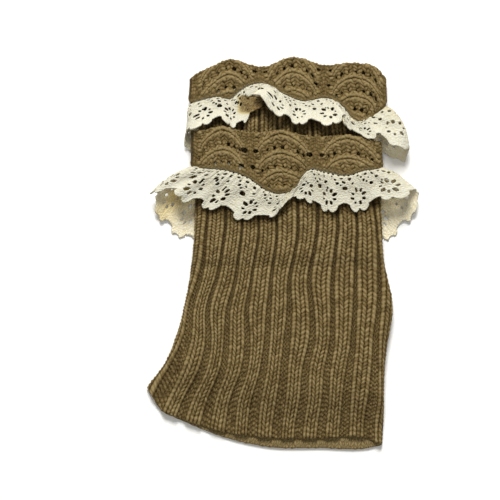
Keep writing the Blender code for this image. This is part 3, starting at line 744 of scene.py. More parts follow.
@dataclass(frozen=True)
class WarmerForm:
    """The form of one leg warmer, as its solids have it.

    Attributes:
        side: Which leg warmer it is.
        tube_edges: Left and right edges of the flat tube.
        tube_bows: Rise of the tube's top and sag of its hem.
        cuff_edges: Top and lower edges of the cuff.
        folds: Crests, troughs and turns of the ruffle's hem.
        flares: How far the ruffle's left and right sides bulge out of a straight line.
    """

    side: Side
    tube_edges: Array
    tube_bows: Array
    cuff_edges: Array
    folds: Array
    flares: tuple[float, float]

    def tube_bottom(self, y: Array) -> Array:
        """Height of the tube's underside."""
        return outer_tube_bottom(y) if self.side is Side.OUTER else inner_tube_bottom(y)

    def tube_half(self, along: Array) -> Array:
        """Half of the flat tube's thickness, without its ribs, at a place along it."""
        if self.side is Side.INNER:
            return np.full_like(along, SINGLE_HALF)
        return NESTED_HALF + (SINGLE_HALF - NESTED_HALF) * smooth_step(along, *PAST_INNER_HEM)

    def tube_top(self, y: Array) -> Array:
        """Height of the tube's ribs in front, near its cuff."""
        half = NESTED_HALF if self.side is Side.OUTER else SINGLE_HALF
        return self.tube_bottom(y) + 2 * half + RIB_DEPTH

    def edges_at(self, along: Array) -> list[Array]:
        """The left edge's x and y, and the right edge's, at places along the flat tube."""
        return [read_smoothly(self.tube_edges, column, along) for column in (1, 2, 3, 4)]

    def cuff_edge(self, across: Array, is_back: Array) -> Array:
        """The y of the cuff's lower edge, in front or behind."""
        front, back = (read_smoothly(self.cuff_edges, column, across) for column in (2, 3))
        return np.where(is_back, back, front)

    def tube_plan(self, across: Array, along: Array, is_back: Array, inset: float) -> tuple[Array, Array]:
        """Plan position of points on the flat tube, a patch between its edges, top and hem."""
        left_x, left_y, right_x, right_y = self.edges_at(along)
        width = right_x - left_x
        moved = inset / width + across * (1 - 2 * inset / width)
        clipped = np.clip(moved, 0.0, 1.0)
        rise = read_smoothly(self.tube_bows, 1, clipped)
        sag = np.where(
            is_back, read_smoothly(self.tube_bows, 3, clipped), read_smoothly(self.tube_bows, 2, clipped))
        y = left_y + (right_y - left_y) * moved
        return left_x + width * moved, y + rise * (1 - along) ** 3 - sag * along ** 3

    def tube_points(self, seam: Array, along: Array, inset: float) -> Array:
        """Points of the tube's outer face, or of its inner face, inset by the wall.

        Args:
            seam: Places round the tube, 0 to 1 over the front and 1 to 2 back under it.
            along: Places from the top, 0, to the hem, 1.
            inset: Distance in from the outer face.

        Returns:
            One point in x, y and z for each place.
        """
        share, is_back = over_panel(seam)
        left_x, _, right_x, _ = self.edges_at(along)
        width = right_x - left_x
        half = self.tube_half(along) - inset
        across, height = flat_ring(share, width - 2 * inset, half)
        x, y = self.tube_plan(across, along, is_back, inset)
        z = self.tube_bottom(y) + inset + half + np.where(is_back, -height, height)
        return np.stack([x, y, z], axis=-1)

    def tube_sides(self, y: Array) -> tuple[Array, Array]:
        """The x of the tube's left and right edges at heights up the leg."""
        left_x, left_y, right_x, right_y = self.edges_at(np.linspace(0.0, 1.0, EDGE_SAMPLES))
        return np.interp(-y, -left_y, left_x), np.interp(-y, -right_y, right_x)

    def cuff_points(self, seam: Array, share: Array) -> Array:
        """Points in the middle of the cuff's wall.

        Args:
            seam: Places round the cuff, 0 to 1 over the front and 1 to 2 back under it.
            share: Places from the top edge, 0, to the lower edge, 1.

        Returns:
            One point in x, y and z for each place.
        """
        panel, is_back = over_panel(seam)
        outset = SEAM_GAP + LACE_LAYER + LACE_SLACK + CUFF_WALL / 2
        wide = self.tube_edges[0, 3] - self.tube_edges[0, 1] + 2 * outset
        half_guess = (SINGLE_HALF if self.side is Side.INNER else NESTED_HALF) + LACE_LAYER
        across = flat_ring(panel, wide, half_guess)[0]
        tube_top_y = self.tube_plan(across, np.zeros_like(across), is_back, 0.0)[1]
        top = tube_top_y + read_smoothly(self.cuff_edges, 1, across)
        y = top + (self.cuff_edge(across, is_back) - top) * share
        left, right = self.tube_sides(y)
        left = left - outset
        right = right + outset
        underside = outer_cuff_bottom(y) if self.side is Side.OUTER else np.zeros_like(y)
        floor = underside + CUFF_WALL / 2
        roof = self.tube_top(y) + SEAM_GAP + LACE_LAYER + LACE_SLACK + CUFF_WALL / 2
        half = (roof - floor) / 2
        across, height = flat_ring(panel, right - left, half)
        z = (floor + roof) / 2 + np.where(is_back, -height, height)
        return np.stack([left + (right - left) * across, y, z], axis=-1)

    def seam_points(self, seam: Array, lower: Array) -> Array:
        """Points of the lace's middle surface on the tube, a distance lower than the cuff's edge."""
        across, is_back = over_panel(seam)
        y = self.cuff_edge(across, is_back) - lower
        offset = SEAM_GAP + LACE_WALL / 2
        left, right = self.tube_sides(y)
        left = left - offset - LACE_SLACK
        right = right + offset + LACE_SLACK
        bottom = self.tube_bottom(y) - offset
        half = (self.tube_top(y) + offset - bottom) / 2
        reach = half * EDGE_ROUNDING
        distance = np.minimum(across, 1 - across) * (right - left)
        from_edge = 1 - np.clip(distance / reach, 0.0, 1.0)
        height = half * np.sqrt(1 - from_edge ** 2)
        z = bottom + half + np.where(is_back, -height, height)
        return np.stack([left + (right - left) * across, y, z], axis=-1)

    def ruffle_points(self, seam: Array, share: Array) -> Array:
        """Points of the ruffle's middle surface.

        Under the cuff the lace runs straight down the tube.  Past the cuff's edge it runs to the
        hem, and climbs with the share of the way to a power, so that it leaves the tube gently.

        Args:
            seam: Places round the leg, 0 to 1 over the front and 1 to 2 round the back.
            share: Places from the cuff's edge, 0, to the hem, 1, and below 0 under the cuff.

        Returns:
            One point in x, y and z for each place.
        """
        seam = np.mod(seam, 2.0)
        edge = self.seam_points(seam, np.full_like(seam, LACE_CLEAR))
        under = np.clip(-share, 0.0, 1.0)[..., None]
        tucked = self.seam_points(seam, LACE_CLEAR - (LACE_CLEAR + LACE_TUCK) * under[..., 0])
        hem = np.stack([read_round(self.folds, column, seam) for column in (1, 2, 3)], axis=-1)
        hem[..., 2] = np.maximum(hem[..., 2], LACE_WALL / 2)
        spine = hem - edge
        length = np.linalg.norm(spine, axis=-1)
        across, is_back = over_panel(seam)
        from_side = np.minimum(across, 1 - across)
        flat_back = np.where(is_back, smooth_step(from_side, 0.0, SIDE_FADE), 0.0)
        turn = np.where(across < 0.5, 1.0, -1.0)
        sideways = np.stack([spine[..., 1] * turn, -spine[..., 0] * turn], axis=-1)
        sideways /= np.linalg.norm(sideways, axis=-1, keepdims=True)
        flare = np.where(across < 0.5, *self.flares) * (1 - smooth_step(from_side, 0.0, FLARE_WIDTH))
        out = np.clip(share, 0.0, 1.0)
        settle = np.minimum(SETTLE_LENGTH / length, SETTLE_MOST)
        climb = out ** LIFT_POWER
        climb = climb + (np.minimum(out / settle, 1.0) - climb) * flat_back
        point = edge + spine * np.stack([out, out, climb], axis=-1)
        point[..., :2] += sideways * (flare * 4 * out * (1 - out))[..., None]
        return np.where(under > 0, tucked, point)


OUTER_FORM = WarmerForm(
    Side.OUTER, OUTER_TUBE_EDGES, OUTER_TUBE_BOWS, OUTER_CUFF_EDGES, OUTER_RUFFLE_FOLDS, (3.5, 3.0))
INNER_FORM = WarmerForm(
    Side.INNER, INNER_TUBE_EDGES, INNER_TUBE_BOWS, INNER_CUFF_EDGES, INNER_RUFFLE_FOLDS, (1.0, 6.0))


@dataclass
class RibTube:
    """A tube in two-by-two rib, with every stitch in front raised from its surface.

    A wale is a column of stitches.  Wales are counted round the leg, four to a rib: two knit wales
    from -1 to 1 about the rib's middle line, and two purl wales from 1 to 3 in the valley beside it.

    Attributes:
        form: The leg warmer's form.
        shown: Places along the tube between which single stitches are drawn.
        valleys: The x of the valleys between the ribs up the legs, or None for even ribs.
        painted_shade_share: Share of the yarn's tone that painted shade leaves where the tube lies deep
            under the others.
        ribs: Ribs across one panel.
        rows: Knitted rows along the tube.
        knit_share: Share of a rib's width that its two knit wales take, at the top and the hem.
        opening: Places along the tube between which that share changes.
        uneven: How much the share differs from rib to rib.
        knit_steps: Columns of the mesh over one knit wale.
        purl_steps: Columns of the mesh over one purl wale.
        row_steps: Rows of the mesh over one knitted row.
        coarse_step: Distance of the mesh's rows where no stitch shows, as a place along the tube.
        rib_height: Height of the ribs over the tube's smooth face.
        valley_depth: Depth of the valleys under it.
        leg_height: Height of each leg of a knit stitch.
        inner_lean: Rows that a leg leans over beside a rib's middle line.
        outer_lean: Rows that a leg leans over at a rib's sides.
        purl_height: Height of a purl bump.
        hem_loop: Reach of the loops past the hem.
        hem_tone: Tone of those loops.
        wander: How far the wales wander from side to side, as a share of the front.
        valley_levels: Levels along the tube at which the valleys' places are worked out.
        valley_moves: Times that a valley is moved toward its place in the table.
        valley_pull: Share of the front that it moves for each millimetre that is left.
        valley_ends: Places across the front which the valleys stay between.
        hem_shade: Distances below the ruffle's hem at which the painted shade under it starts and stops
            to lift.
        hem_shade_tone: Share of the tone that the painted shade leaves right under the hem.
    """

    form: WarmerForm
    shown: tuple[float, float]
    valleys: Array | None
    painted_shade_share: float = 1.0
    ribs: int = 10
    rows: int = 75
    knit_share: tuple[float, float] = (0.9, 0.6)
    opening: tuple[float, float] = (0.35, 1.1)
    uneven: float = 0.06
    knit_steps: int = 8
    purl_steps: int = 5
    row_steps: int = 4
    coarse_step: float = 0.02
    rib_height: float = 0.75
    valley_depth: float = 0.9
    leg_height: float = 0.85
    inner_lean: float = 0.85
    outer_lean: float = 0.5
    purl_height: float = 0.6
    hem_loop: float = 0.7
    hem_tone: float = 0.7
    wander: float = 0.003
    valley_levels: int = 61
    valley_moves: int = 14
    valley_pull: float = 0.006
    valley_ends: tuple[float, float] = (0.01, 0.985)
    hem_shade: tuple[float, float] = (-1.0, 7.5)
    hem_shade_tone: float = 0.3

    def wale_columns(self) -> Array:
        """Wale coordinate of each column: four wales a rib, dense in front and sparse behind."""
        knit = np.arange(2 * self.knit_steps) / self.knit_steps - 1
        purl = np.arange(2 * self.purl_steps) / self.purl_steps + 1
        rib = np.concatenate([knit, purl])
        front = (np.arange(self.ribs + 1)[:, None] * 4 + rib[None, :]).ravel()
        front = front[front <= 4 * self.ribs + 1]
        behind = np.array([-1.0, -0.5, 0.0, 0.5, 1.0, 2.0])
        back = (np.arange(self.ribs + 1)[:, None] * 4 + behind[None, :]).ravel()
        back = back[(back > 1) & (back < 4 * self.ribs - 1)] + 4 * self.ribs
        return np.concatenate([front, back])

    def row_lines(self) -> Array:
        """Knitted row of each grid row, dense where single stitches show."""
        low, high = self.shown
        fine = np.arange(
            np.floor(low * self.rows), np.ceil(high * self.rows), 1 / self.row_steps)
        step = self.coarse_step * self.rows
        before = np.arange(0.0, fine[0] - step / 2, step)
        after = np.arange(fine[-1] + step, self.rows, step)
        lines = np.concatenate([before, fine, after, [self.rows]])
        return np.unique(np.clip(lines, 0.0, self.rows))

    def valley_seams(self) -> Array:
        """Seam places of the middle lines of the valleys, round the tube at levels along it.

        In front they follow the table: each place is moved over again by the distance that is
        left to its x.  Behind they are even.

        Returns:
            One row for each level, from the last valley behind, lapped back, to the first in front,
            lapped on.
        """
        along, number = np.meshgrid(
            np.linspace(0.0, 1.0, self.valley_levels), np.arange(self.ribs), indexing="ij")
        seam = (number + 0.5) / self.ribs
        moves = 0 if self.valleys is None else self.valley_moves
        for _ in range(moves):
            points = self.form.tube_points(seam, along, 0.0)
            aim = np.stack([
                read_smoothly(self.valleys, valley + 1, points[:, valley, 1])
                for valley in range(self.ribs)], axis=1)
            seam = np.clip(seam + (aim - points[..., 0]) * self.valley_pull, *self.valley_ends)
        pitch = 1.0 / self.ribs
        turn = np.linspace(0.0, 1.0, self.ribs)[None, :]
        first, last = seam[:, :1], seam[:, -1:]
        back = (last + pitch) * (1 - turn) + (first + 2.0 - pitch) * turn
        return np.concatenate([back[:, -1:] - 2.0, seam, back, first + 2.0], axis=1)

    def seam_places(self, wale: Array, along: Array) -> Array:
        """Turn wales into seam places, with the knit wales' share of the way between two valleys.

        That share falls toward the hem and differs from rib to rib by a product of slow sines.
        The wales also wander from side to side, by a sum of slow sines along the tube.
        """
        nodes = self.valley_seams()
        level = np.clip(along, 0.0, 1.0) * (len(nodes) - 1)
        low = np.minimum(np.floor(level).astype(int), len(nodes) - 2)
        part = level - low
        turn = (wale + 2) / 4
        valley = np.floor(turn).astype(int)
        from_middle = turn - valley - 0.5
        start = nodes[low, valley] * (1 - part) + nodes[low + 1, valley] * part
        end = nodes[low, valley + 1] * (1 - part) + nodes[low + 1, valley + 1] * part
        top_share, hem_share = self.knit_share
        share = top_share + (hem_share - top_share) * smooth_step(along, *self.opening)
        uneven = np.sin(9.0 * along + 2.3 * valley) * np.sin(5.0 * along + 1.1 * valley)
        share = share + self.uneven * uneven
        in_knit = np.clip(from_middle, -0.25, 0.25)
        moved = 0.5 + 2 * share * in_knit + 2 * (1 - share) * (from_middle - in_knit)
        seam = start + (end - start) * moved
        waves = np.sin(14.0 * along + 4.1 * seam) + 0.5 * np.sin(29.0 * along - 9.0 * seam)
        from_side = smooth_step(np.minimum(seam, np.abs(1 - seam)), 0.0, SIDE_FADE)
        return np.mod(seam + self.wander * waves * from_side * (seam < 1), 2.0)

    def leaning(self, wale: Array) -> Array:
        """How many rows each column of a stitch lies lower than the stitch's middle line.

        The two legs beside a rib's middle line lean most, and the outer ones less.
        """
        local = np.mod(wale + 1, 4.0) - 1
        from_middle = np.abs(2 * (wale - np.floor(wale)) - 1)
        lean = np.where(np.abs(local) < 0.5, self.inner_lean, self.outer_lean)
        return np.where(local < 1, from_middle * lean, self.outer_lean)

    def knit_legs(self, wale: Array, row: Array, from_rib: Array) -> tuple[Array, Array]:
        """Height and tone of the knit stitches' legs, two to a wale.

        Across, a leg is a parabola.  Along, it is beaded by a squared sine once a row, less in the
        middle of the rib.  Height and tone are scattered from leg to leg, and the tone is painted shade,
        darkest in the pits between legs and rows.

        Args:
            wale: Wale of each point.
            row: Knitted row of each point.
            from_rib: Distance of each point from its rib's middle line, in wales.

        Returns:
            Heights in millimetres, and tones before they are held between 0 and 1.
        """
        number = np.floor(wale)
        across = 2 * (wale - number) - 1
        leg_number = number * 2 + (across > 0)
        row_number = np.floor(row)
        bead = np.sin(np.pi * (row - row_number)) ** 2
        ridge = 1 - (2 * np.abs(across) - 1) ** 2
        bead_depth = 0.7 - 0.25 * smooth_step(from_rib, 0.4, 0.7)
        leg = ridge * (1 - bead_depth * (1 - bead))
        size = 0.7 + 0.6 * scatter(leg_number, row_number, 1.0)
        shade = 0.6 + 0.65 * scatter(leg_number, row_number, 4.0)
        # Painted shade in the pits between legs and rows
        pit = (1 - ridge) * (1 - bead)
        return self.leg_height * leg * size, (0.16 + 0.86 * leg) * shade - 0.4 * pit

    def purl_bumps(self, wale: Array, row: Array) -> tuple[Array, Array]:
        """Height and tone of the purl bumps, two to a wale and staggered by half a row.

        A bump is a parabola across and a squared sine along, scattered in size.  Its tone is painted
        shade, lower where the ribs are drawn together and rising as they open toward the hem.
        """
        local = np.mod(wale + 1, 4.0) - 1
        half_wale = np.floor(2 * local)
        across = 2 * (2 * local - half_wale) - 1
        staggered = row + 0.5 * np.mod(half_wale, 2.0) + 0.12 * across
        number = np.floor(staggered)
        bump = np.sin(np.pi * (staggered - number)) ** 2 * (1 - 0.7 * across ** 2)
        size = 0.6 + 0.9 * scatter(half_wale + 5 * np.floor(wale), number, 2.0)
        # Painted shade between the bumps and down in the valleys, deepest where the ribs are drawn together
        opened = 0.35 + 0.65 * smooth_step(row / self.rows, 0.25, 0.8)
        return self.purl_height * bump * size, (0.1 + 0.8 * bump * size) * opened

    def relief(self, wale: Array, row: Array) -> tuple[Array, Array]:
        """Height of the knitted cloth over the tube's smooth face, and its tone.

        A rib is a flat-topped bell that carries the knit legs, and the purl bumps are down in the
        valleys.  The rows start at a different height in each column of legs, and wave slowly.

        Args:
            wale: Wale of each point.
            row: Knitted row of each point, counted along the legs of the stitches.

        Returns:
            Heights in millimetres, and tones from 0, painted shade down between the stitches, to 1,
            painted light on top of the yarn.
        """
        local = np.mod(wale + 1, 4.0) - 1
        from_rib = np.abs(np.where(local > 2, local - 4, local))
        crest = 1 - smooth_step(from_rib, 0.75, 1.4)
        base = -self.valley_depth + (self.rib_height + self.valley_depth) * crest
        number = np.floor(wale)
        leg_number = number * 2 + (2 * (wale - number) - 1 > 0)
        row = row + 0.5 * scatter(leg_number, 0.0, 5.0) + 0.25 * np.sin(0.35 * row + 1.7 * number)
        leg_height, leg_tone = self.knit_legs(wale, row, from_rib)
        bump_height, bump_tone = self.purl_bumps(wale, row)
        is_knit = smooth_step(1.1 - from_rib, 0.0, 0.2)
        height = bump_height * (1 - is_knit) + leg_height * is_knit
        tone = bump_tone * (1 - is_knit) + leg_tone * is_knit
        # Painted shade off the rib's crest, down in the valleys
        return base + height, np.clip(tone * (0.7 + 0.3 * crest), 0.0, 1.0)

    def outer_face(self, wale: Array, lines: Array) -> tuple[Array, Array, Array]:
        """Outer face of the tube, its tone with painted shade, and the share of each point whose stitches
        are only drawn.

        Args:
            wale: Wales of the columns, as one row.
            lines: Knitted rows of the grid's rows, as one column.

        Returns:
            The points, their tones and their drawn shares.
        """
        wale_grid, row = np.broadcast_arrays(wale, lines)
        low, high = (share * self.rows for share in self.shown)
        level = smooth_step(lines, low, low + 3) * (1 - smooth_step(lines, high - 2.5, high - 0.5))
        lowered = (self.leaning(wale) - self.outer_lean) * level
        along = np.clip((row + lowered) / self.rows, 0.0, 1.0)
        seam = self.seam_places(wale_grid, along)
        smooth = self.form.tube_points(seam, along, 0.0)
        relief, tone = self.relief(wale_grid, row)
        raised = smooth_step(lines, low - 1, low + 1)
        if self.shown[1] < 1:
            raised = raised * (1 - smooth_step(lines, high - 1, high + 1))
        drawn = np.maximum(1 - raised, share_behind(seam, (0.98, 1.02), (1.96, 1.995)))
        height = relief * (1 - drawn) + self.back_relief(wale_grid) * drawn
        rim = smooth_step(along, 0.0, 0.01)
        outer = smooth + grid_normals(smooth) * (height * rim)[..., None]
        outer[..., 2] = np.maximum(outer[..., 2], 0.0)
        # The tone carries painted shade where the tube lies deep under the others and right under the
        # ruffle's hem
        return outer, self.painted_shade_share * tone * self.painted_shade_under_hem(outer), drawn

    def build(self) -> GridMesh:
        """Work out the tube: outer face, hem, inner face and top rim as one closed grid."""
        wale = self.wale_columns()[None, :]
        lines = self.row_lines()[:, None]
        outer, tone, drawn = self.outer_face(wale, lines)
        inner_wale, inner_along = np.broadcast_arrays(wale, INNER_FACE_PLACES[:, None])
        inner = self.form.tube_points(self.seam_places(inner_wale, inner_along), inner_along, RIB_WALL)
        down = outer[-1] - outer[-4]
        down /= np.linalg.norm(down, axis=-1, keepdims=True)
        loops = 0.45 + 0.55 * np.abs(np.sin(np.pi * wale[0]))
        hem_rim = (outer[-1] + inner[0]) / 2 + down * (self.hem_loop * loops)[:, None]
        top_rim = (outer[0] + inner[-1]) / 2
        points = np.concatenate([outer, hem_rim[None], inner, top_rim[None]])
        rows, columns = points.shape[:2]
        plain = np.ones(inner.shape[:2])
        tones = np.concatenate([tone, np.full((1, columns), self.hem_tone), plain, tone[:1]])
        drawn = np.concatenate([drawn, np.zeros((1, columns)), 0.5 * plain, drawn[:1]])
        faces, places = grid_faces(rows, columns, close_rows=True)
        row_values = np.concatenate([
            lines[:, 0] / self.rows, [1.01], INNER_FACE_PLACES, [-0.01, 0.0]]) * self.rows
        wale_values = np.append(wale[0], wale[0, 0] + 8 * self.ribs)
        corners = np.stack([wale_values[places[..., 1]], row_values[places[..., 0]]], axis=-1)
        return GridMesh(
            points.reshape(-1, 3), faces, corners,
            {"yarn_tone_and_painted_shade": tones.ravel(), "drawn_share": drawn.ravel()})

    def painted_shade_under_hem(self, points: Array) -> Array:
        """Share of the yarn's tone left by painted shade at points in front, deep right under the
        ruffle's hem.

        It rises smoothly with the distance below the line through the turns of the hem.
        """
        turns = self.form.folds[self.form.folds[:, 0] <= 1.0]
        order = np.argsort(turns[:, 1])
        hem_y = np.interp(points[..., 0], turns[order, 1], turns[order, 2])
        cleared = smooth_step(hem_y - points[..., 1], *self.hem_shade)
        return self.hem_shade_tone + (1 - self.hem_shade_tone) * cleared

    def back_relief(self, wale: Array) -> Array:
        """Height of the ribs alone, a cosine once a rib, kept low for the side that lies down."""
        return 0.3 * np.cos(np.pi / 2 * wale) - 0.3

    def dress(self, material: bpy.types.Material, flat: tuple[float, float]) -> bpy.types.Object:
        """Make the tube's piece, with its yarn, in place of its solid.

        Args:
            material: The yarn.
            flat: Width and length of the whole cut, in metres; not used.

        Returns:
            The finished piece.
        """
        node = f"{self.form.side.value}_rib_tube"
        piece = self.build().make(f"knitted_{node}")
        piece.data.materials.append(material)
        stand_for(piece, node)
        return piece


def give_wall(piece: bpy.types.Object, thickness: float) -> bpy.types.SolidifyModifier:
    """Give a surface its wall, half to each side."""
    wall = piece.modifiers.new("wall", "SOLIDIFY")
    wall.thickness = thickness * MM
    wall.offset = 0.0
    return wall


def stand_for(piece: bpy.types.Object, node: str) -> None:
    """Let a piece ride on the pair and show in place of one solid."""
    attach(piece, "root")
    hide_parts(node)
    log.info("%s stands for %s with %d faces", piece.name, node, len(piece.data.polygons))


def ellipse_distance(x: Array, y: Array, wide: Array | float, high: Array | float) -> Array:
    """Distance from an ellipse's edge, from the scaled radius over the length of its slope."""
    radius = np.sqrt((x / wide) ** 2 + (y / high) ** 2) + 1e-9
    slope = np.sqrt((x / wide ** 2) ** 2 + (y / high ** 2) ** 2) + 1e-9
    return radius * (radius - 1) / slope


# Shares of a cell: how near an edge a point is drawn to it, and how far past it a point may stay
SNAP_SHARE = 0.52
STAY_SHARE = 0.12


def cut_grid(
    first: Array, second: Array, distance: Callable[[Array, Array], Array], step: float,
) -> tuple[Array, Array, Array]:
    """Draw a grid's points onto the edge of its openings, and find the points that stay.

    A point nearer to the edge than about half a cell moves straight to it, by the distance along
    the slope of the distance.

    Args:
        first: Places of the points along the cloth, in millimetres of the flat cloth.
        second: Places of the points down the cloth, in the same measure.
        distance: Distance to the nearest opening or outer edge, above 0 in the cloth.
        step: Size of a cell.

    Returns:
        The moved places, and whether each point is in the cloth.
    """
    small = 0.05
    for _ in range(2):
        here = distance(first, second)
        slope_first = (distance(first + small, second) - distance(first - small, second)) / (2 * small)
        slope_second = (distance(first, second + small) - distance(first, second - small)) / (2 * small)
        steep = slope_first ** 2 + slope_second ** 2 + 1e-6
        near = np.abs(here) < SNAP_SHARE * step
        first = np.where(near, first - here * slope_first / steep, first)
        second = np.where(near, second - here * slope_second / steep, second)
    inside = distance(first, second) > -STAY_SHARE * step
    return first, second, inside


@dataclass
class FanCuff:
    """A cuff in fan knit: stacked shells of stitches between strips of eyelets.

    Attributes:
        form: The leg warmer's form.
        fan_sides: Places across the front of the strips between the fans.
        eyelet_depths: Distances of the eyelet pairs below the cuff's top edge.
        first_crease: Distance of the first shell's crown below that edge.
        lobe: How far the edge rises over each fan.
        repeat: Height of one shell and the rows under it.
        shell_radius: Radius of the shells' rows.
        shell_reach: Share of a fan's half width in which its shells turn upright.
        wales_a_radian: Columns of stitches in a radian round a shell.
        holes_a_radian: Small holes in a radian round a shell.
        stitch: Height of one row of stitches.
        front_columns: Columns of the mesh in front.
        back_columns: Columns of the mesh behind.
        rows: Rows of the mesh.
        eyelet_offset: Distance of a pair's eyelets from the middle of their strip.
        eyelet_size: Half of an eyelet's width and height.
        hole_size: Half of a small hole's width and height.
        edge_bump: Height of the knitted bumps along both edges.
    """

    form: WarmerForm
    fan_sides: tuple[float, ...]
    eyelet_depths: tuple[float, ...]
    first_crease: float
    lobe: float
    repeat: float = 12.6
    shell_radius: float = 13.6
    shell_reach: float = 0.78
    wales_a_radian: float = 5.4
    holes_a_radian: float = 3.2
    stitch: float = 2.52
    front_columns: int = 340
    back_columns: int = 70
    rows: int = 84
    eyelet_offset: float = 3.9
    eyelet_size: tuple[float, float] = (1.9, 1.6)
    hole_size: tuple[float, float] = (0.95, 1.15)
    edge_bump: float = 0.7

    def fan_place(self, panel: Array) -> Array:
        """Fan coordinate across the front, whole in the middle of each strip between two fans."""
        return np.interp(panel, self.fan_sides, np.arange(len(self.fan_sides)))

    def depths(self, seam: Array, share: Array) -> Array:
        """Distance of points below the cuff's top edge, in plan."""
        top = self.form.cuff_points(seam, np.zeros_like(share))
        return top[..., 1] - self.form.cuff_points(seam, share)[..., 1]

    def shells(self, seam: Array) -> tuple[Array, Array, Array, Array]:
        """Where points lie across the fans.

        Rows of stitches follow round shells, so a row drops by the radius less the height of the
        circle over the point.

        Returns:
            Fan number, place from a fan's middle line to its sides, the angle round the shell from
            its crown in radians, and the row's drop below the crown in millimetres.
        """
        place = self.fan_place(over_panel(seam)[0])
        fan = np.minimum(np.floor(place), len(self.fan_sides) - 2)
        from_middle = (place - fan) * 2 - 1
        reach = np.clip(from_middle / self.shell_reach, -0.97, 0.97)
        angle = np.arcsin(reach)
        return fan, from_middle, angle, self.shell_radius * (1 - np.cos(angle))

    def shell_relief(self, fan: Array, angle: Array, turn: Array) -> tuple[Array, Array]:
        """Height and tone of the shells of a fan.

        Each shell starts with a dashed line between two raised cords, all bells of the distance from
        the line, and sinks by a cosine to a hollow before the next shell.  The line is painted dark as
        shade and the cords painted light.  The rows between are beads, a sine along and a cosine
        across, scattered in size and painted light on top, with gaps between the rows painted dark as
        shade.

        Args:
            fan: Number of the fan.
            angle: Angle round the shell from its crown, in radians.
            turn: Place down the fan, whole on each shell's line.

        Returns:
            Heights in millimetres, and tones before they are held between 0 and 1.
        """
        beat = turn - np.floor(turn)
        from_line = np.minimum(beat, 1 - beat)
        wale = angle * self.wales_a_radian + 0.4 * np.sin(5.0 * turn + fan)
        number = np.floor(wale)
        across = 2 * (wale - number) - 1
        lean = 0.45 * np.where(np.mod(number, 2.0) < 1, across, -across)
        row = turn * self.repeat / self.stitch + 0.5 + lean
        row_number = np.floor(row)
        in_row = row - row_number
        arch = np.cos(np.pi / 2 * across)
        bead = np.sin(np.pi * in_row) * arch * (0.5 + 0.8 * scatter(number + 31 * fan, row_number, 3.0))
        dashed = 0.3 + 1.1 * (scatter(number + 17 * fan, row_number, 6.0) < 0.5)
        gap = bell(np.minimum(in_row, 1 - in_row), 0.22) * arch * dashed
        dash = 0.45 + 0.55 * scatter(np.floor(1.7 * wale), np.floor(turn + 0.5), 9.0)
        line = bell(from_line, 0.05) * dash
        cords = bell(from_line - 0.11, 0.05) * (0.85 + 0.15 * np.cos(2 * np.pi * (1.5 * wale + row)))
        plain = 1 - 0.85 * cords
        hollow = np.cos(2 * np.pi * beat)
        height = 0.35 * hollow + 0.65 * cords - 1.2 * line + (0.6 * bead - 0.7 * gap) * plain
        # Painted light on the cords and beads, painted shade in the line and in the gaps between rows
        tone = 0.27 + 0.06 * hollow + 0.55 * cords - line + (0.45 * bead - 0.8 * gap) * plain
        return height, tone

    def strip_relief(self, fan: Array, from_middle: Array, depth: Array) -> tuple[Array, Array]:
        """Height and tone of the strips between the fans, chevrons of small split stitches.

        Down the strip a chevron is a sine of the row, and the rows rise toward the strip's middle line.
        """
        side = (1 - np.abs(from_middle)) * self.panel_length() / (len(self.fan_sides) - 1) / 2
        column = side / 1.3
        row = (depth - 0.55 * side) / self.stitch
        size = 0.3 + 0.8 * scatter(np.floor(row), np.floor(column) + fan, 8.0)
        chevron = np.abs(np.sin(np.pi * row)) * size * np.abs(np.sin(np.pi * column)) ** 0.5
        # The tone is painted shade between the chevrons and lighter on them
        return 0.5 * chevron, 0.12 + 0.5 * chevron

    def relief(self, seam: Array, depth: Array) -> tuple[Array, Array]:
        """Height of the fan knit over the cuff's smooth face, and its tone of painted shade and light from
        0 to 1.
        """
        fan, from_middle, angle, drop = self.shells(seam)
        turn = (depth - drop - self.first_crease) / self.repeat
        shell_height, shell_tone = self.shell_relief(fan, angle, turn)
        strip_height, strip_tone = self.strip_relief(fan, from_middle, depth)
        in_fan = 1 - smooth_step(np.abs(from_middle), 0.78, 0.88)
        height = shell_height * in_fan + strip_height * (1 - in_fan)
        tone = shell_tone * in_fan + strip_tone * (1 - in_fan)
        return height, np.clip(tone, 0.0, 1.0)

    def strip_eyelets(self, seam: Array, depth: Array) -> Array:
        """Distance to the nearest eyelet of the pairs in the strips, scattered in place and size."""
        width = self.panel_length()
        half_width, half_height = self.eyelet_size
        nearest = np.full(np.broadcast(seam, depth).shape, FAR)
        for number, side in enumerate(self.fan_sides[1:-1]):
            for row, at_depth in enumerate(self.eyelet_depths):
                for turn in (-1, 1):
                    moved = 1.4 * (scatter(np.array(number * 7 + row), turn, 5.0) - 0.5) - 1.6 * row
                    size = 0.9 + 0.35 * scatter(np.array(number * 5 + row), turn, 6.0)
                    found = ellipse_distance(
                        (seam - side) * width - turn * self.eyelet_offset - moved, depth - at_depth,
                        half_width * size, half_height * size)
                    nearest = np.minimum(nearest, found)
        return nearest

    def shell_holes(self, seam: Array, depth: Array) -> Array:
        """Distance to the nearest small hole, in an arc under each shell, scattered in size."""
        fan, _, angle, drop = self.shells(seam)
        turn = (depth - 0.55 * drop - self.first_crease) / self.repeat
        repeat = np.floor(turn)
        slot = np.clip(np.round(angle * self.holes_a_radian), -3, 3)
        size = 0.4 + 0.9 * scatter(slot + 9 * fan, repeat, 7.0)
        half_width, half_height = self.hole_size
        found = ellipse_distance(
            (angle - slot / self.holes_a_radian) * self.shell_radius, (turn - repeat - 0.66) * self.repeat,
            half_width * size, half_height * size)
        return np.where(depth > 2.5, found, FAR)

    def panel_length(self) -> float:
        """Length over the cuff's front from edge to edge, in millimetres."""
        return self.form.tube_edges[0, 3] - self.form.tube_edges[0, 1] + 8.0

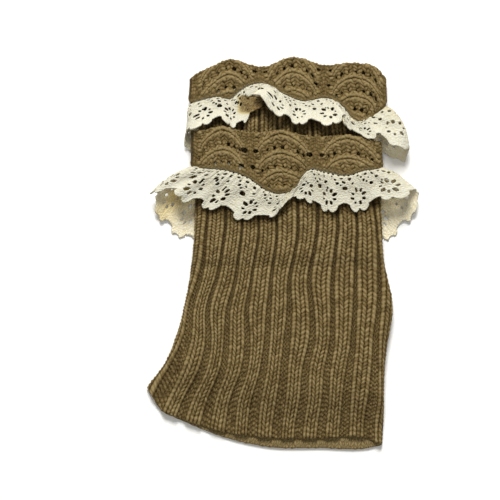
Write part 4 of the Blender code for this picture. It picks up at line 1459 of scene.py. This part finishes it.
    def build(self) -> GridMesh:
        """Work out the middle of the cuff's wall, with its relief and eyelets."""
        front = np.linspace(0.0, 1.0, self.front_columns, endpoint=False)
        back = 1.0 + np.linspace(0.0, 1.0, self.back_columns, endpoint=False)
        seam = np.concatenate([front, back])[None, :]
        share = np.linspace(0.0, 1.0, self.rows)[:, None]
        seam, share = np.broadcast_arrays(seam, share)
        width = self.panel_length()
        whole = np.maximum(self.depths(seam, np.ones_like(share)), 1.0)
        depth = whole * share

        def from_eyelets(arc: Array, down: Array) -> Array:
            """Distance to an eyelet or hole in front, and none behind or near the edges."""
            rim = np.minimum(down, whole - down)
            open_here = (arc < 0.97 * width) & (arc > 0.03 * width) & (rim > 1.8)
            across = arc / width
            nearest = np.minimum(self.strip_eyelets(across, down), self.shell_holes(across, down))
            return np.where(open_here, nearest, FAR)

        arc, depth, inside = cut_grid(seam * width, depth, from_eyelets, width / self.front_columns)
        seam = arc / width
        share = np.clip(depth / whole, 0.0, 1.0)
        points = self.form.cuff_points(seam, share)
        normal = grid_normals(points)
        relief, tone = self.relief(seam, depth)
        drawn = share_behind(seam, (0.98, 1.02), (1.98, 2.02))
        rims = smooth_step(depth, -0.5, 1.0) * smooth_step(whole - depth, 0.5, 3.5)
        roll = 0.4 * bell(whole - depth - 3.0, 1.6) - 0.5 * bell(whole - depth, 1.2)
        height = relief * rims + roll
        tone = tone * rims + (0.6 + 0.25 * np.sin(2.3 * arc) * np.sin(3.1 * depth)) * (1 - rims)
        points = points + normal * (height * (1 - drawn))[..., None]
        bumps = np.abs(np.sin(np.pi * arc / self.stitch)) * (0.6 + 0.4 * np.sin(0.9 * arc))
        points[..., 1] += self.edge_bump * bumps * (bell(depth, 1.0) - bell(whole - depth, 1.0))
        lobes = np.cos(np.pi / 2 * self.shells(seam)[1]) ** 2 - 0.5
        points[..., 1] += self.lobe * lobes * bell(depth, 6.0) * (1 - drawn)
        rows, columns = seam.shape
        faces, places = grid_faces(rows, columns, close_rows=False)
        kept = inside.ravel()[faces].all(axis=1)
        stitch_arcs = np.append(seam[0], 2.0) * width / self.stitch
        stitch_rows = np.linspace(0.0, whole.mean() / self.stitch, rows)
        corners = np.stack([stitch_arcs[places[..., 1]], stitch_rows[places[..., 0]]], axis=-1)
        return GridMesh(
            points.reshape(-1, 3), faces[kept], corners[kept],
            {"yarn_tone_and_painted_shade": tone.ravel(), "drawn_share": drawn.ravel()})

    def dress(self, material: bpy.types.Material, flat: tuple[float, float]) -> bpy.types.Object:
        """Make the cuff's piece, with its yarn, in place of its solid."""
        node = f"{self.form.side.value}_fan_cuff"
        piece = self.build().make(f"knitted_{node}")
        piece.data.materials.append(material)
        give_wall(piece, CUFF_WALL)
        stand_for(piece, node)
        return piece


@dataclass(frozen=True)
class Eyelet:
    """One oval hole of the lace between two daisies.

    Attributes:
        along: Place along the lace, from the line half way between the daisies.
        down: Place below the cuff's edge.
        wide: Half of its width.
        high: Half of its height.
        turn: Its turn in radians.
    """

    along: float
    down: float
    wide: float
    high: float
    turn: float = 0.0


# Holes of the lace between two daisies
EYELETS = (
    Eyelet(1.0, 10.6, 1.7, 1.45),
    Eyelet(-4.2, 6.8, 1.2, 0.9, -0.4),
    Eyelet(-5.8, 4.2, 1.2, 0.8, 0.3),
    Eyelet(-8.8, 2.6, 1.3, 0.55, -0.1),
    Eyelet(-1.2, 3.0, 1.3, 0.7, -0.2),
    Eyelet(0.2, 6.0, 1.2, 0.75, 0.5),
    Eyelet(-1.9, 8.2, 1.1, 0.9, 0.9),
    Eyelet(4.6, 3.4, 1.2, 0.95, -0.5),
    Eyelet(6.4, 6.8, 1.5, 0.8, -0.6),
    Eyelet(8.6, 10.6, 0.8, 1.0, 0.0),
    Eyelet(-7.9, 0.7, 0.9, 0.7, 0.0),
    Eyelet(-3.6, 0.9, 0.8, 0.6, 0.3),
    Eyelet(0.6, 0.6, 0.9, 0.7, -0.2),
    Eyelet(4.2, 0.9, 0.8, 0.6, 0.1),
    Eyelet(8.3, 0.7, 0.9, 0.7, 0.2),
)


@dataclass(frozen=True)
class Fold:
    """A deep fold of the lace, where the cloth dips and lies in its own shade.

    Attributes:
        first: Seam place where it starts.
        last: Seam place where it ends.
        soft: Width of its soft sides, as seam places.
        dip: How far the cloth dips.
        shade: How deep its painted shade is, 0 to 1.
        above: Height up the legs over which it lies.
        below: Height up the legs under which it lies, for a fold under an overhanging edge.
    """

    first: float
    last: float
    soft: float
    dip: float
    shade: float
    above: float = -1000.0
    below: float = 1000.0

    def share(self, seam: Array, x: Array, y: Array) -> Array:
        """How much of the fold is at each point, from 0 to 1, under an edge rippled by picots."""
        rise = smooth_step(seam, self.first - self.soft, self.first + self.soft)
        fall = 1 - smooth_step(seam, self.last - self.soft, self.last + self.soft)
        edge = self.below + 0.9 * np.abs(np.sin(0.5 * x))
        return rise * fall * smooth_step(edge - y, -0.4, 1.0) * smooth_step(y - self.above, 0.0, 4.0)


# Seam places of the daisies round each leg, and the folds that dip and lie in shade
OUTER_DAISIES = (
    0.03, 0.14, 0.25, 0.37, 0.475, 0.625, 0.728, 0.865, 0.962,
    1.04, 1.12, 1.21, 1.32, 1.44, 1.57, 1.70, 1.81, 1.90, 1.965)
INNER_DAISIES = (
    0.08, 0.205, 0.30, 0.465, 0.555, 0.69, 0.785, 0.89, 0.975,
    1.07, 1.20, 1.33, 1.46, 1.60, 1.73, 1.86, 1.95)
OUTER_DEEP_FOLDS = (
    Fold(0.50, 0.525, soft=0.02, dip=0.8, shade=0.15),
    Fold(0.665, 0.675, soft=0.02, dip=1.8, shade=0.1),
    Fold(1.94, 1.98, soft=0.03, dip=0.0, shade=0.35),
)
INNER_DEEP_FOLDS = (
    Fold(0.245, 0.385, soft=0.015, dip=0.8, shade=0.9, above=93.0, below=107.0),
    Fold(0.29, 0.385, soft=0.03, dip=0.8, shade=0.4, above=93.0, below=107.0),
    Fold(0.755, 0.765, soft=0.015, dip=0.5, shade=0.2),
)


@dataclass
class LaceRuffle:
    """A gathered ruffle of cotton lace: daisies of petal holes, eyelet clusters and a picot hem.

    Attributes:
        form: The leg warmer's form.
        daisies: Seam places of the daisies, once round the leg.
        deep_folds: Folds that dip and lie in shade.
        daisy_depth: Distance of the daisies below the cuff's edge.
        squeezed: Numbers of the daisies that a deep fold squeezes nearly shut.
        squeezed_size: Share of their size that the petal holes of such a daisy keep.
        behind: Share of the daisies past which the lace lies behind the leg.
        smaller_behind: Share by which its holes are smaller there.
        repeat: Length of the flat lace from daisy to daisy.
        tucked: Width of the flat lace under the cuff.
        width: Width of the flat lace past the cuff's edge.
        petals: Petal holes of a daisy.
        petal_reach: Distance of the petal holes from the daisy's middle.
        petal_size: Half of a petal hole's length and width.
        columns: Columns of the mesh round the leg.
        rows: Rows of the mesh.
        picot_offset: Distance of the two picots under a daisy from its middle line.
        picot_radius: Radius of the picots.
        cord_height: Height of the cord of thread round each hole and the hem.
    """

    form: WarmerForm
    daisies: tuple[float, ...]
    deep_folds: tuple[Fold, ...]
    daisy_depth: float = 16.5
    squeezed: tuple[int, ...] = ()
    squeezed_size: float = 0.45
    behind: float = 0.47
    smaller_behind: float = 0.25
    repeat: float = 20.0
    tucked: float = 5.5
    width: float = 27.0
    petals: int = 8
    petal_reach: float = 4.4
    petal_size: tuple[float, float] = (1.5, 0.98)
    columns: int = 620
    rows: int = 58
    picot_offset: float = 3.1
    picot_radius: float = 3.0
    cord_height: float = 0.28

    def seam_of(self, pattern: Array) -> Array:
        """Seam place of a pattern coordinate, whole at each daisy, on cubics from daisy to daisy."""
        count = len(self.daisies)
        whole = np.arange(count + 1)
        seam = np.append(self.daisies, self.daisies[0] + 2.0)
        lap = np.floor(pattern / count)
        inside = pattern - lap * count
        slopes = np.gradient(np.concatenate([[seam[-2] - 2.0], seam, [seam[1] + 2.0]]))[1:-1]
        index = np.clip(np.floor(inside).astype(int), 0, count - 1)
        share = inside - whole[index]
        start = seam[index] * (1 + 2 * share) * (1 - share) ** 2
        start_slope = slopes[index] * share * (1 - share) ** 2
        end = seam[index + 1] * share ** 2 * (3 - 2 * share)
        end_slope = slopes[index + 1] * share ** 2 * (share - 1)
        return start + start_slope + end + end_slope + 2.0 * lap

    def lies_behind(self, number: Array) -> Array:
        """Whether numbered daisies, or the gaps after them, are behind the leg: 0 or 1."""
        return smooth_step(number / len(self.daisies), self.behind - 0.02, self.behind)

    def petal_holes(self, along: Array, down: Array) -> Array:
        """Distance to the nearest petal hole, an ellipse that points from its daisy's middle.

        Each daisy is turned, and each of its holes sized, by scatter.
        """
        daisy = np.floor(along / self.repeat + 0.5)
        number = np.mod(daisy, len(self.daisies))
        x = along - daisy * self.repeat
        y = down - self.daisy_depth
        angle = np.arctan2(y, x) + 6.28 * scatter(number, 0.0, 11.0)
        step = 2 * np.pi / self.petals
        petal = np.floor(angle / step + 0.5)
        away = angle - petal * step
        radius = np.hypot(x, y)
        size = 0.65 + 0.6 * scatter(number, np.mod(petal, self.petals), 12.0)
        size = size * (1 - self.smaller_behind * self.lies_behind(number))
        size = size * np.where(np.isin(number, self.squeezed), self.squeezed_size, 1.0)
        length, breadth = self.petal_size
        return ellipse_distance(
            radius * np.cos(away) - self.petal_reach, radius * np.sin(away), length * size, breadth * size)

    def eyelet_holes(self, along: Array, down: Array) -> Array:
        """Distance to the nearest hole between two daisies, each sized by scatter."""
        gap = np.floor(along / self.repeat)
        number = np.mod(gap, len(self.daisies))
        from_gap = along - (gap + 0.5) * self.repeat
        smaller = 1 - self.smaller_behind * self.lies_behind(number)
        nearest = np.full(along.shape, FAR)
        for order, hole in enumerate(EYELETS):
            size = (0.7 + 0.5 * scatter(number, order, 13.0)) * smaller
            x = from_gap - hole.along
            y = down - hole.down
            turned_x = x * np.cos(hole.turn) + y * np.sin(hole.turn)
            turned_y = y * np.cos(hole.turn) - x * np.sin(hole.turn)
            found = ellipse_distance(turned_x, turned_y, hole.wide * size, hole.high * size)
            nearest = np.minimum(nearest, found)
        return nearest

    def hem_distance(self, along: Array, down: Array) -> Array:
        """Distance from the hem: a cosine edge, lowest under each daisy, with two round picots there.

        Behind the leg, where the hem shows at the sides, the edge comes lower between the picots.
        """
        daisy = np.floor(along / self.repeat + 0.5)
        from_daisy = along - daisy * self.repeat
        picot_x = np.abs(from_daisy) - self.picot_offset
        picot = self.picot_radius - np.hypot(picot_x, down - (self.width - self.picot_radius))
        arch = np.cos(np.pi * np.clip(from_daisy / (self.repeat / 2), -1, 1))
        lower = 1.6 * self.lies_behind(np.mod(daisy, len(self.daisies)))
        body = (self.width - 3.4 + lower + 1.0 * arch) - down
        return np.maximum(body, picot)

    def edge_distance(self, along: Array, down: Array) -> Array:
        """Distance from the nearest hole or the hem, above 0 in the lace.

        Args:
            along: Places along the flat lace in millimetres, a whole repeat at each daisy.
            down: Places below the cuff's edge in millimetres of the flat lace.

        Returns:
            The distance for each place, in millimetres.
        """
        holes = np.minimum(self.petal_holes(along, down), self.eyelet_holes(along, down))
        return np.minimum(holes, self.hem_distance(along, down))

    def even_columns(self) -> Array:
        """Pattern coordinates of the mesh's columns, evenly apart along the middle of the ruffle."""
        pattern = np.linspace(0.0, len(self.daisies), 6001)
        middle = self.form.ruffle_points(self.seam_of(pattern), np.full_like(pattern, 0.6))
        steps = np.linalg.norm(np.diff(middle, axis=0), axis=1) + 0.02
        length = np.concatenate([[0.0], np.cumsum(steps)])
        return np.interp(np.linspace(0.0, length[-1], self.columns, endpoint=False), length, pattern)

    def relief(self, along: Array, down: Array, behind: Array) -> Array:
        """Height of the lace over its smooth form.

        A cord of thread, a bell of the distance, runs round each hole and the hem.  The gathers are
        two sines that fade below the seam, the waves two longer ones that grow toward the hem in
        front, and the lace puffs out just below the seam.
        """
        cords = self.cord_height * bell(self.edge_distance(along, down) - 0.35, 0.55)
        pleats = 0.6 * np.sin(2 * np.pi * along / 4.6) + 0.4 * np.sin(2 * np.pi * along / 7.9 + 1.0)
        gathers = 0.55 * pleats * bell(np.maximum(down, 0.0), 9.0) * smooth_step(down, 0.0, 3.0)
        waves = 0.5 * np.sin(2 * np.pi * along / 13.3) + 0.4 * np.sin(2 * np.pi * along / 21.0 + 2.0)
        soft = waves * smooth_step(down, 4.0, 14.0) * (1 - behind)
        puff = 1.3 * smooth_step(down, 0.0, 1.8) * (1 - smooth_step(down, 5.0, 16.0))
        return cords + gathers + soft + puff

    def build(self) -> GridMesh:
        """Work out the middle surface of the lace, with its holes, picots, cords, gathers, folds and
        painted shade.
        """
        columns = self.even_columns()
        step = (self.width + self.tucked) / (self.rows - 1)
        along, down = np.meshgrid(
            columns * self.repeat, np.linspace(-self.tucked, self.width, self.rows))
        along, down, inside = cut_grid(along, down, self.edge_distance, step)
        seam = self.seam_of(along / self.repeat)
        points = self.form.ruffle_points(
            seam, np.where(down < 0, down / self.tucked, down / self.width))
        seam = np.mod(seam, 2.0)
        behind = share_behind(seam, (0.97, 1.03), (1.97, 2.0))
        points = points + grid_normals(points) * self.relief(along, down, behind)[..., None]
        # Painted shade: toward the seam and more behind the leg, a thin painted shadow right under the
        # cuff's edge, and more in the deep folds
        near_seam = np.clip(1.0 - down / (0.8 * self.width), 0.0, 1.0)
        shade = (0.05 + 0.5 * behind) * near_seam + 0.25 * bell(np.maximum(down, 0.0), 1.0)
        for fold in self.deep_folds:
            share = fold.share(seam, points[..., 0], points[..., 1])
            points[..., 2] -= fold.dip * share * smooth_step(down, 1.0, 7.0)
            shade = shade + fold.shade * share
        points[..., 2] = np.maximum(points[..., 2], LACE_WALL / 2)
        rows, column_count = down.shape
        faces, places = grid_faces(rows, column_count, close_rows=False)
        kept = inside.ravel()[faces].all(axis=1)
        along_values = np.append(columns, len(self.daisies)) * self.repeat
        corners = np.stack([along_values[places[..., 1]], places[..., 0] * step], axis=-1)
        return GridMesh(
            points.reshape(-1, 3), faces[kept], corners[kept],
            {"lace_shade": np.clip(shade, 0.0, 1.0).ravel()})

    def dress(
        self, front: bpy.types.Material, inside: bpy.types.Material, flat: tuple[float, float],
    ) -> bpy.types.Object:
        """Make the ruffle's piece, with its thread, in place of its solid."""
        node = f"{self.form.side.value}_lace_ruffle"
        piece = self.build().make(f"gathered_{node}")
        piece.data.materials.append(front)
        piece.data.materials.append(inside)
        give_wall(piece, LACE_WALL).material_offset = 1
        stand_for(piece, node)
        return piece


@dataclass
class LegWarmer:
    """One leg warmer: its tube, cuff and ruffle.

    Attributes:
        tube: The tube in rib.
        cuff: The cuff over the tube's top.
        ruffle: The lace between the two.
    """

    tube: RibTube
    cuff: FanCuff
    ruffle: LaceRuffle

    def build(self, yarn: bpy.types.Material, lace: bpy.types.Material, inside: bpy.types.Material) -> None:
        """Make and dress the three pieces.

        Each is given the width and length of its flat cut, in metres.

        Args:
            yarn: The yarn of the tube and the cuff.
            lace: The front of the ruffle.
            inside: The ruffle's inner face, a copy of the lace made lighter as painted light, with warmer
                painted shade.
        """
        self.tube.dress(yarn, (0.28, 0.215))
        self.cuff.dress(yarn, (0.25, 0.042))
        self.ruffle.dress(lace, inside, (0.40, 0.0325))


@dataclass(frozen=True)
class Lamp:
    """A square area light that points at the pair.

    Attributes:
        name: Name of the light.
        place: Where it hangs, in metres.
        size: Length of its sides in metres.
        power: Power in watts.
    """

    name: str
    place: tuple[float, float, float]
    size: float
    power: float

    def hang(self) -> None:
        """Put the light into the scene."""
        lamp = bpy.data.lights.new(self.name, "AREA")
        lamp.shape = "SQUARE"
        lamp.size = self.size
        lamp.energy = self.power
        light = bpy.data.objects.new(self.name, lamp)
        light.location = self.place
        light.rotation_euler = (-light.location.normalized()).to_track_quat("-Z", "Y").to_euler()
        bpy.context.scene.collection.objects.link(light)


@dataclass
class Studio:
    """Pale floor, soft light and the camera straight above the pair.

    Attributes:
        view_middle: Point under the camera, in the frame of the tables.
        view_width: Width of the photograph's frame at the height of the cloth.
        view_height: Height of the cloth that is in the camera's plane of measure.
        distance: Distance of the camera from that plane.
        sensor: Width of the camera's sensor.
        clip_end: Distance in metres past which the camera sees nothing.
        floor_half: Half of the floor's width in metres.
        floor_level: Height of the floor in metres, a hair under the pair.
        floor_colour: Colour of the floor.
        air: Strength of the light from all sides.
        air_colour: Colour of that light.
        lamps: One broad light from the top of the picture, and a weak one over the pair.
    """

    view_middle: tuple[float, float] = (-24.14, 2.38)
    view_width: float = 340.0
    view_height: float = 10.0
    distance: float = 1600.0
    sensor: float = 36.0
    clip_end: float = 20.0
    floor_half: float = 3.0
    floor_level: float = -0.0002
    floor_colour: str = "F4F3F0"
    air: float = 0.3
    air_colour: str = "FFFDF8"
    lamps: tuple[Lamp, ...] = (
        Lamp("key", (-0.1, 1.95, 1.75), 0.9, 100.0),
        Lamp("over", (0.1, -0.2, 1.4), 0.9, 3.0),
    )

    def lay_floor(self) -> None:
        """Lay a wide pale floor just under the pair."""
        mesh = bpy.data.meshes.new("floor")
        half = self.floor_half
        corners = [(-half, -half), (half, -half), (half, half), (-half, half)]
        mesh.from_pydata([(x, y, self.floor_level) for x, y in corners], [], [(0, 1, 2, 3)])
        floor = bpy.data.objects.new("floor", mesh)
        bpy.context.scene.collection.objects.link(floor)
        material = bpy.data.materials.new("pale_matte_floor")
        material.use_nodes = True
        shader = material.node_tree.nodes["Principled BSDF"]
        shader.inputs["Base Color"].default_value = linear(self.floor_colour)
        shader.inputs["Roughness"].default_value = 0.9
        shader.inputs["Specular IOR Level"].default_value = 0.1
        mesh.materials.append(material)

    def light(self) -> None:
        """Light the air and hang the lamps."""
        world = bpy.data.worlds.new("studio_air")
        world.use_nodes = True
        air = world.node_tree.nodes["Background"]
        air.inputs["Color"].default_value = linear(self.air_colour)
        air.inputs["Strength"].default_value = self.air
        bpy.context.scene.world = world
        for lamp in self.lamps:
            lamp.hang()

    def set_camera(self) -> None:
        """Look straight down on the pair, with the photograph's frame."""
        data = bpy.data.cameras.new("camera")
        data.sensor_width = self.sensor
        data.lens = self.sensor * self.distance / self.view_width
        data.clip_end = self.clip_end
        camera = bpy.data.objects.new("camera", data)
        camera.location = (
            (self.view_middle[0] - PAIR_MIDDLE[0]) * MM,
            (self.view_middle[1] - PAIR_MIDDLE[1]) * MM,
            (self.distance + self.view_height) * MM)
        bpy.context.scene.collection.objects.link(camera)
        bpy.context.scene.camera = camera


def outer_warmer() -> LegWarmer:
    """The leg warmer in front, whose tube shows from its ruffle to its hem."""
    return LegWarmer(
        RibTube(OUTER_FORM, shown=(0.16, 1.0), valleys=OUTER_TUBE_VALLEYS),
        FanCuff(
            OUTER_FORM, fan_sides=(0.04, 0.316, 0.645, 0.985), eyelet_depths=(13.0, 24.0),
            first_crease=2.2, lobe=1.8),
        LaceRuffle(OUTER_FORM, daisies=OUTER_DAISIES, deep_folds=OUTER_DEEP_FOLDS))


def inner_warmer() -> LegWarmer:
    """The leg warmer whose cuff and ruffle stand out of the outer one's mouth."""
    return LegWarmer(
        # Painted shade darkens the inner tube, deep between the ruffle and the outer cuff
        RibTube(INNER_FORM, shown=(0.0, 0.30), valleys=None, painted_shade_share=0.9),
        FanCuff(
            INNER_FORM, fan_sides=(0.03, 0.36, 0.68, 0.99), eyelet_depths=(3.6, 13.8),
            first_crease=-2.6, lobe=0.3, eyelet_size=(1.35, 1.1)),
        LaceRuffle(
            INNER_FORM, daisies=INNER_DAISIES, deep_folds=INNER_DEEP_FOLDS, daisy_depth=15.2,
            squeezed=(2,)))


def main() -> None:
    """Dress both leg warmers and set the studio."""
    logging.basicConfig(level=logging.INFO, format="%(name)s: %(message)s")
    yarn = TanAcrylicKnit().make()
    lace = CottonLaceThread().make()
    # The inner face is a lighter copy of the lace, painted light where it lies in shade, with a warmer
    # painted shade
    inside = CottonLaceThread(
        name="cream_cotton_lace_inside_painted_light", thread="E4DEC6", hollow="CDB676", deep="523C18").make()
    for warmer in (outer_warmer(), inner_warmer()):
        warmer.build(yarn, lace, inside)
    bpy.context.scene.view_settings.view_transform = "Standard"
    studio = Studio()
    studio.lay_floor()
    studio.light()
    studio.set_camera()


if __name__ == "__main__":
    main()
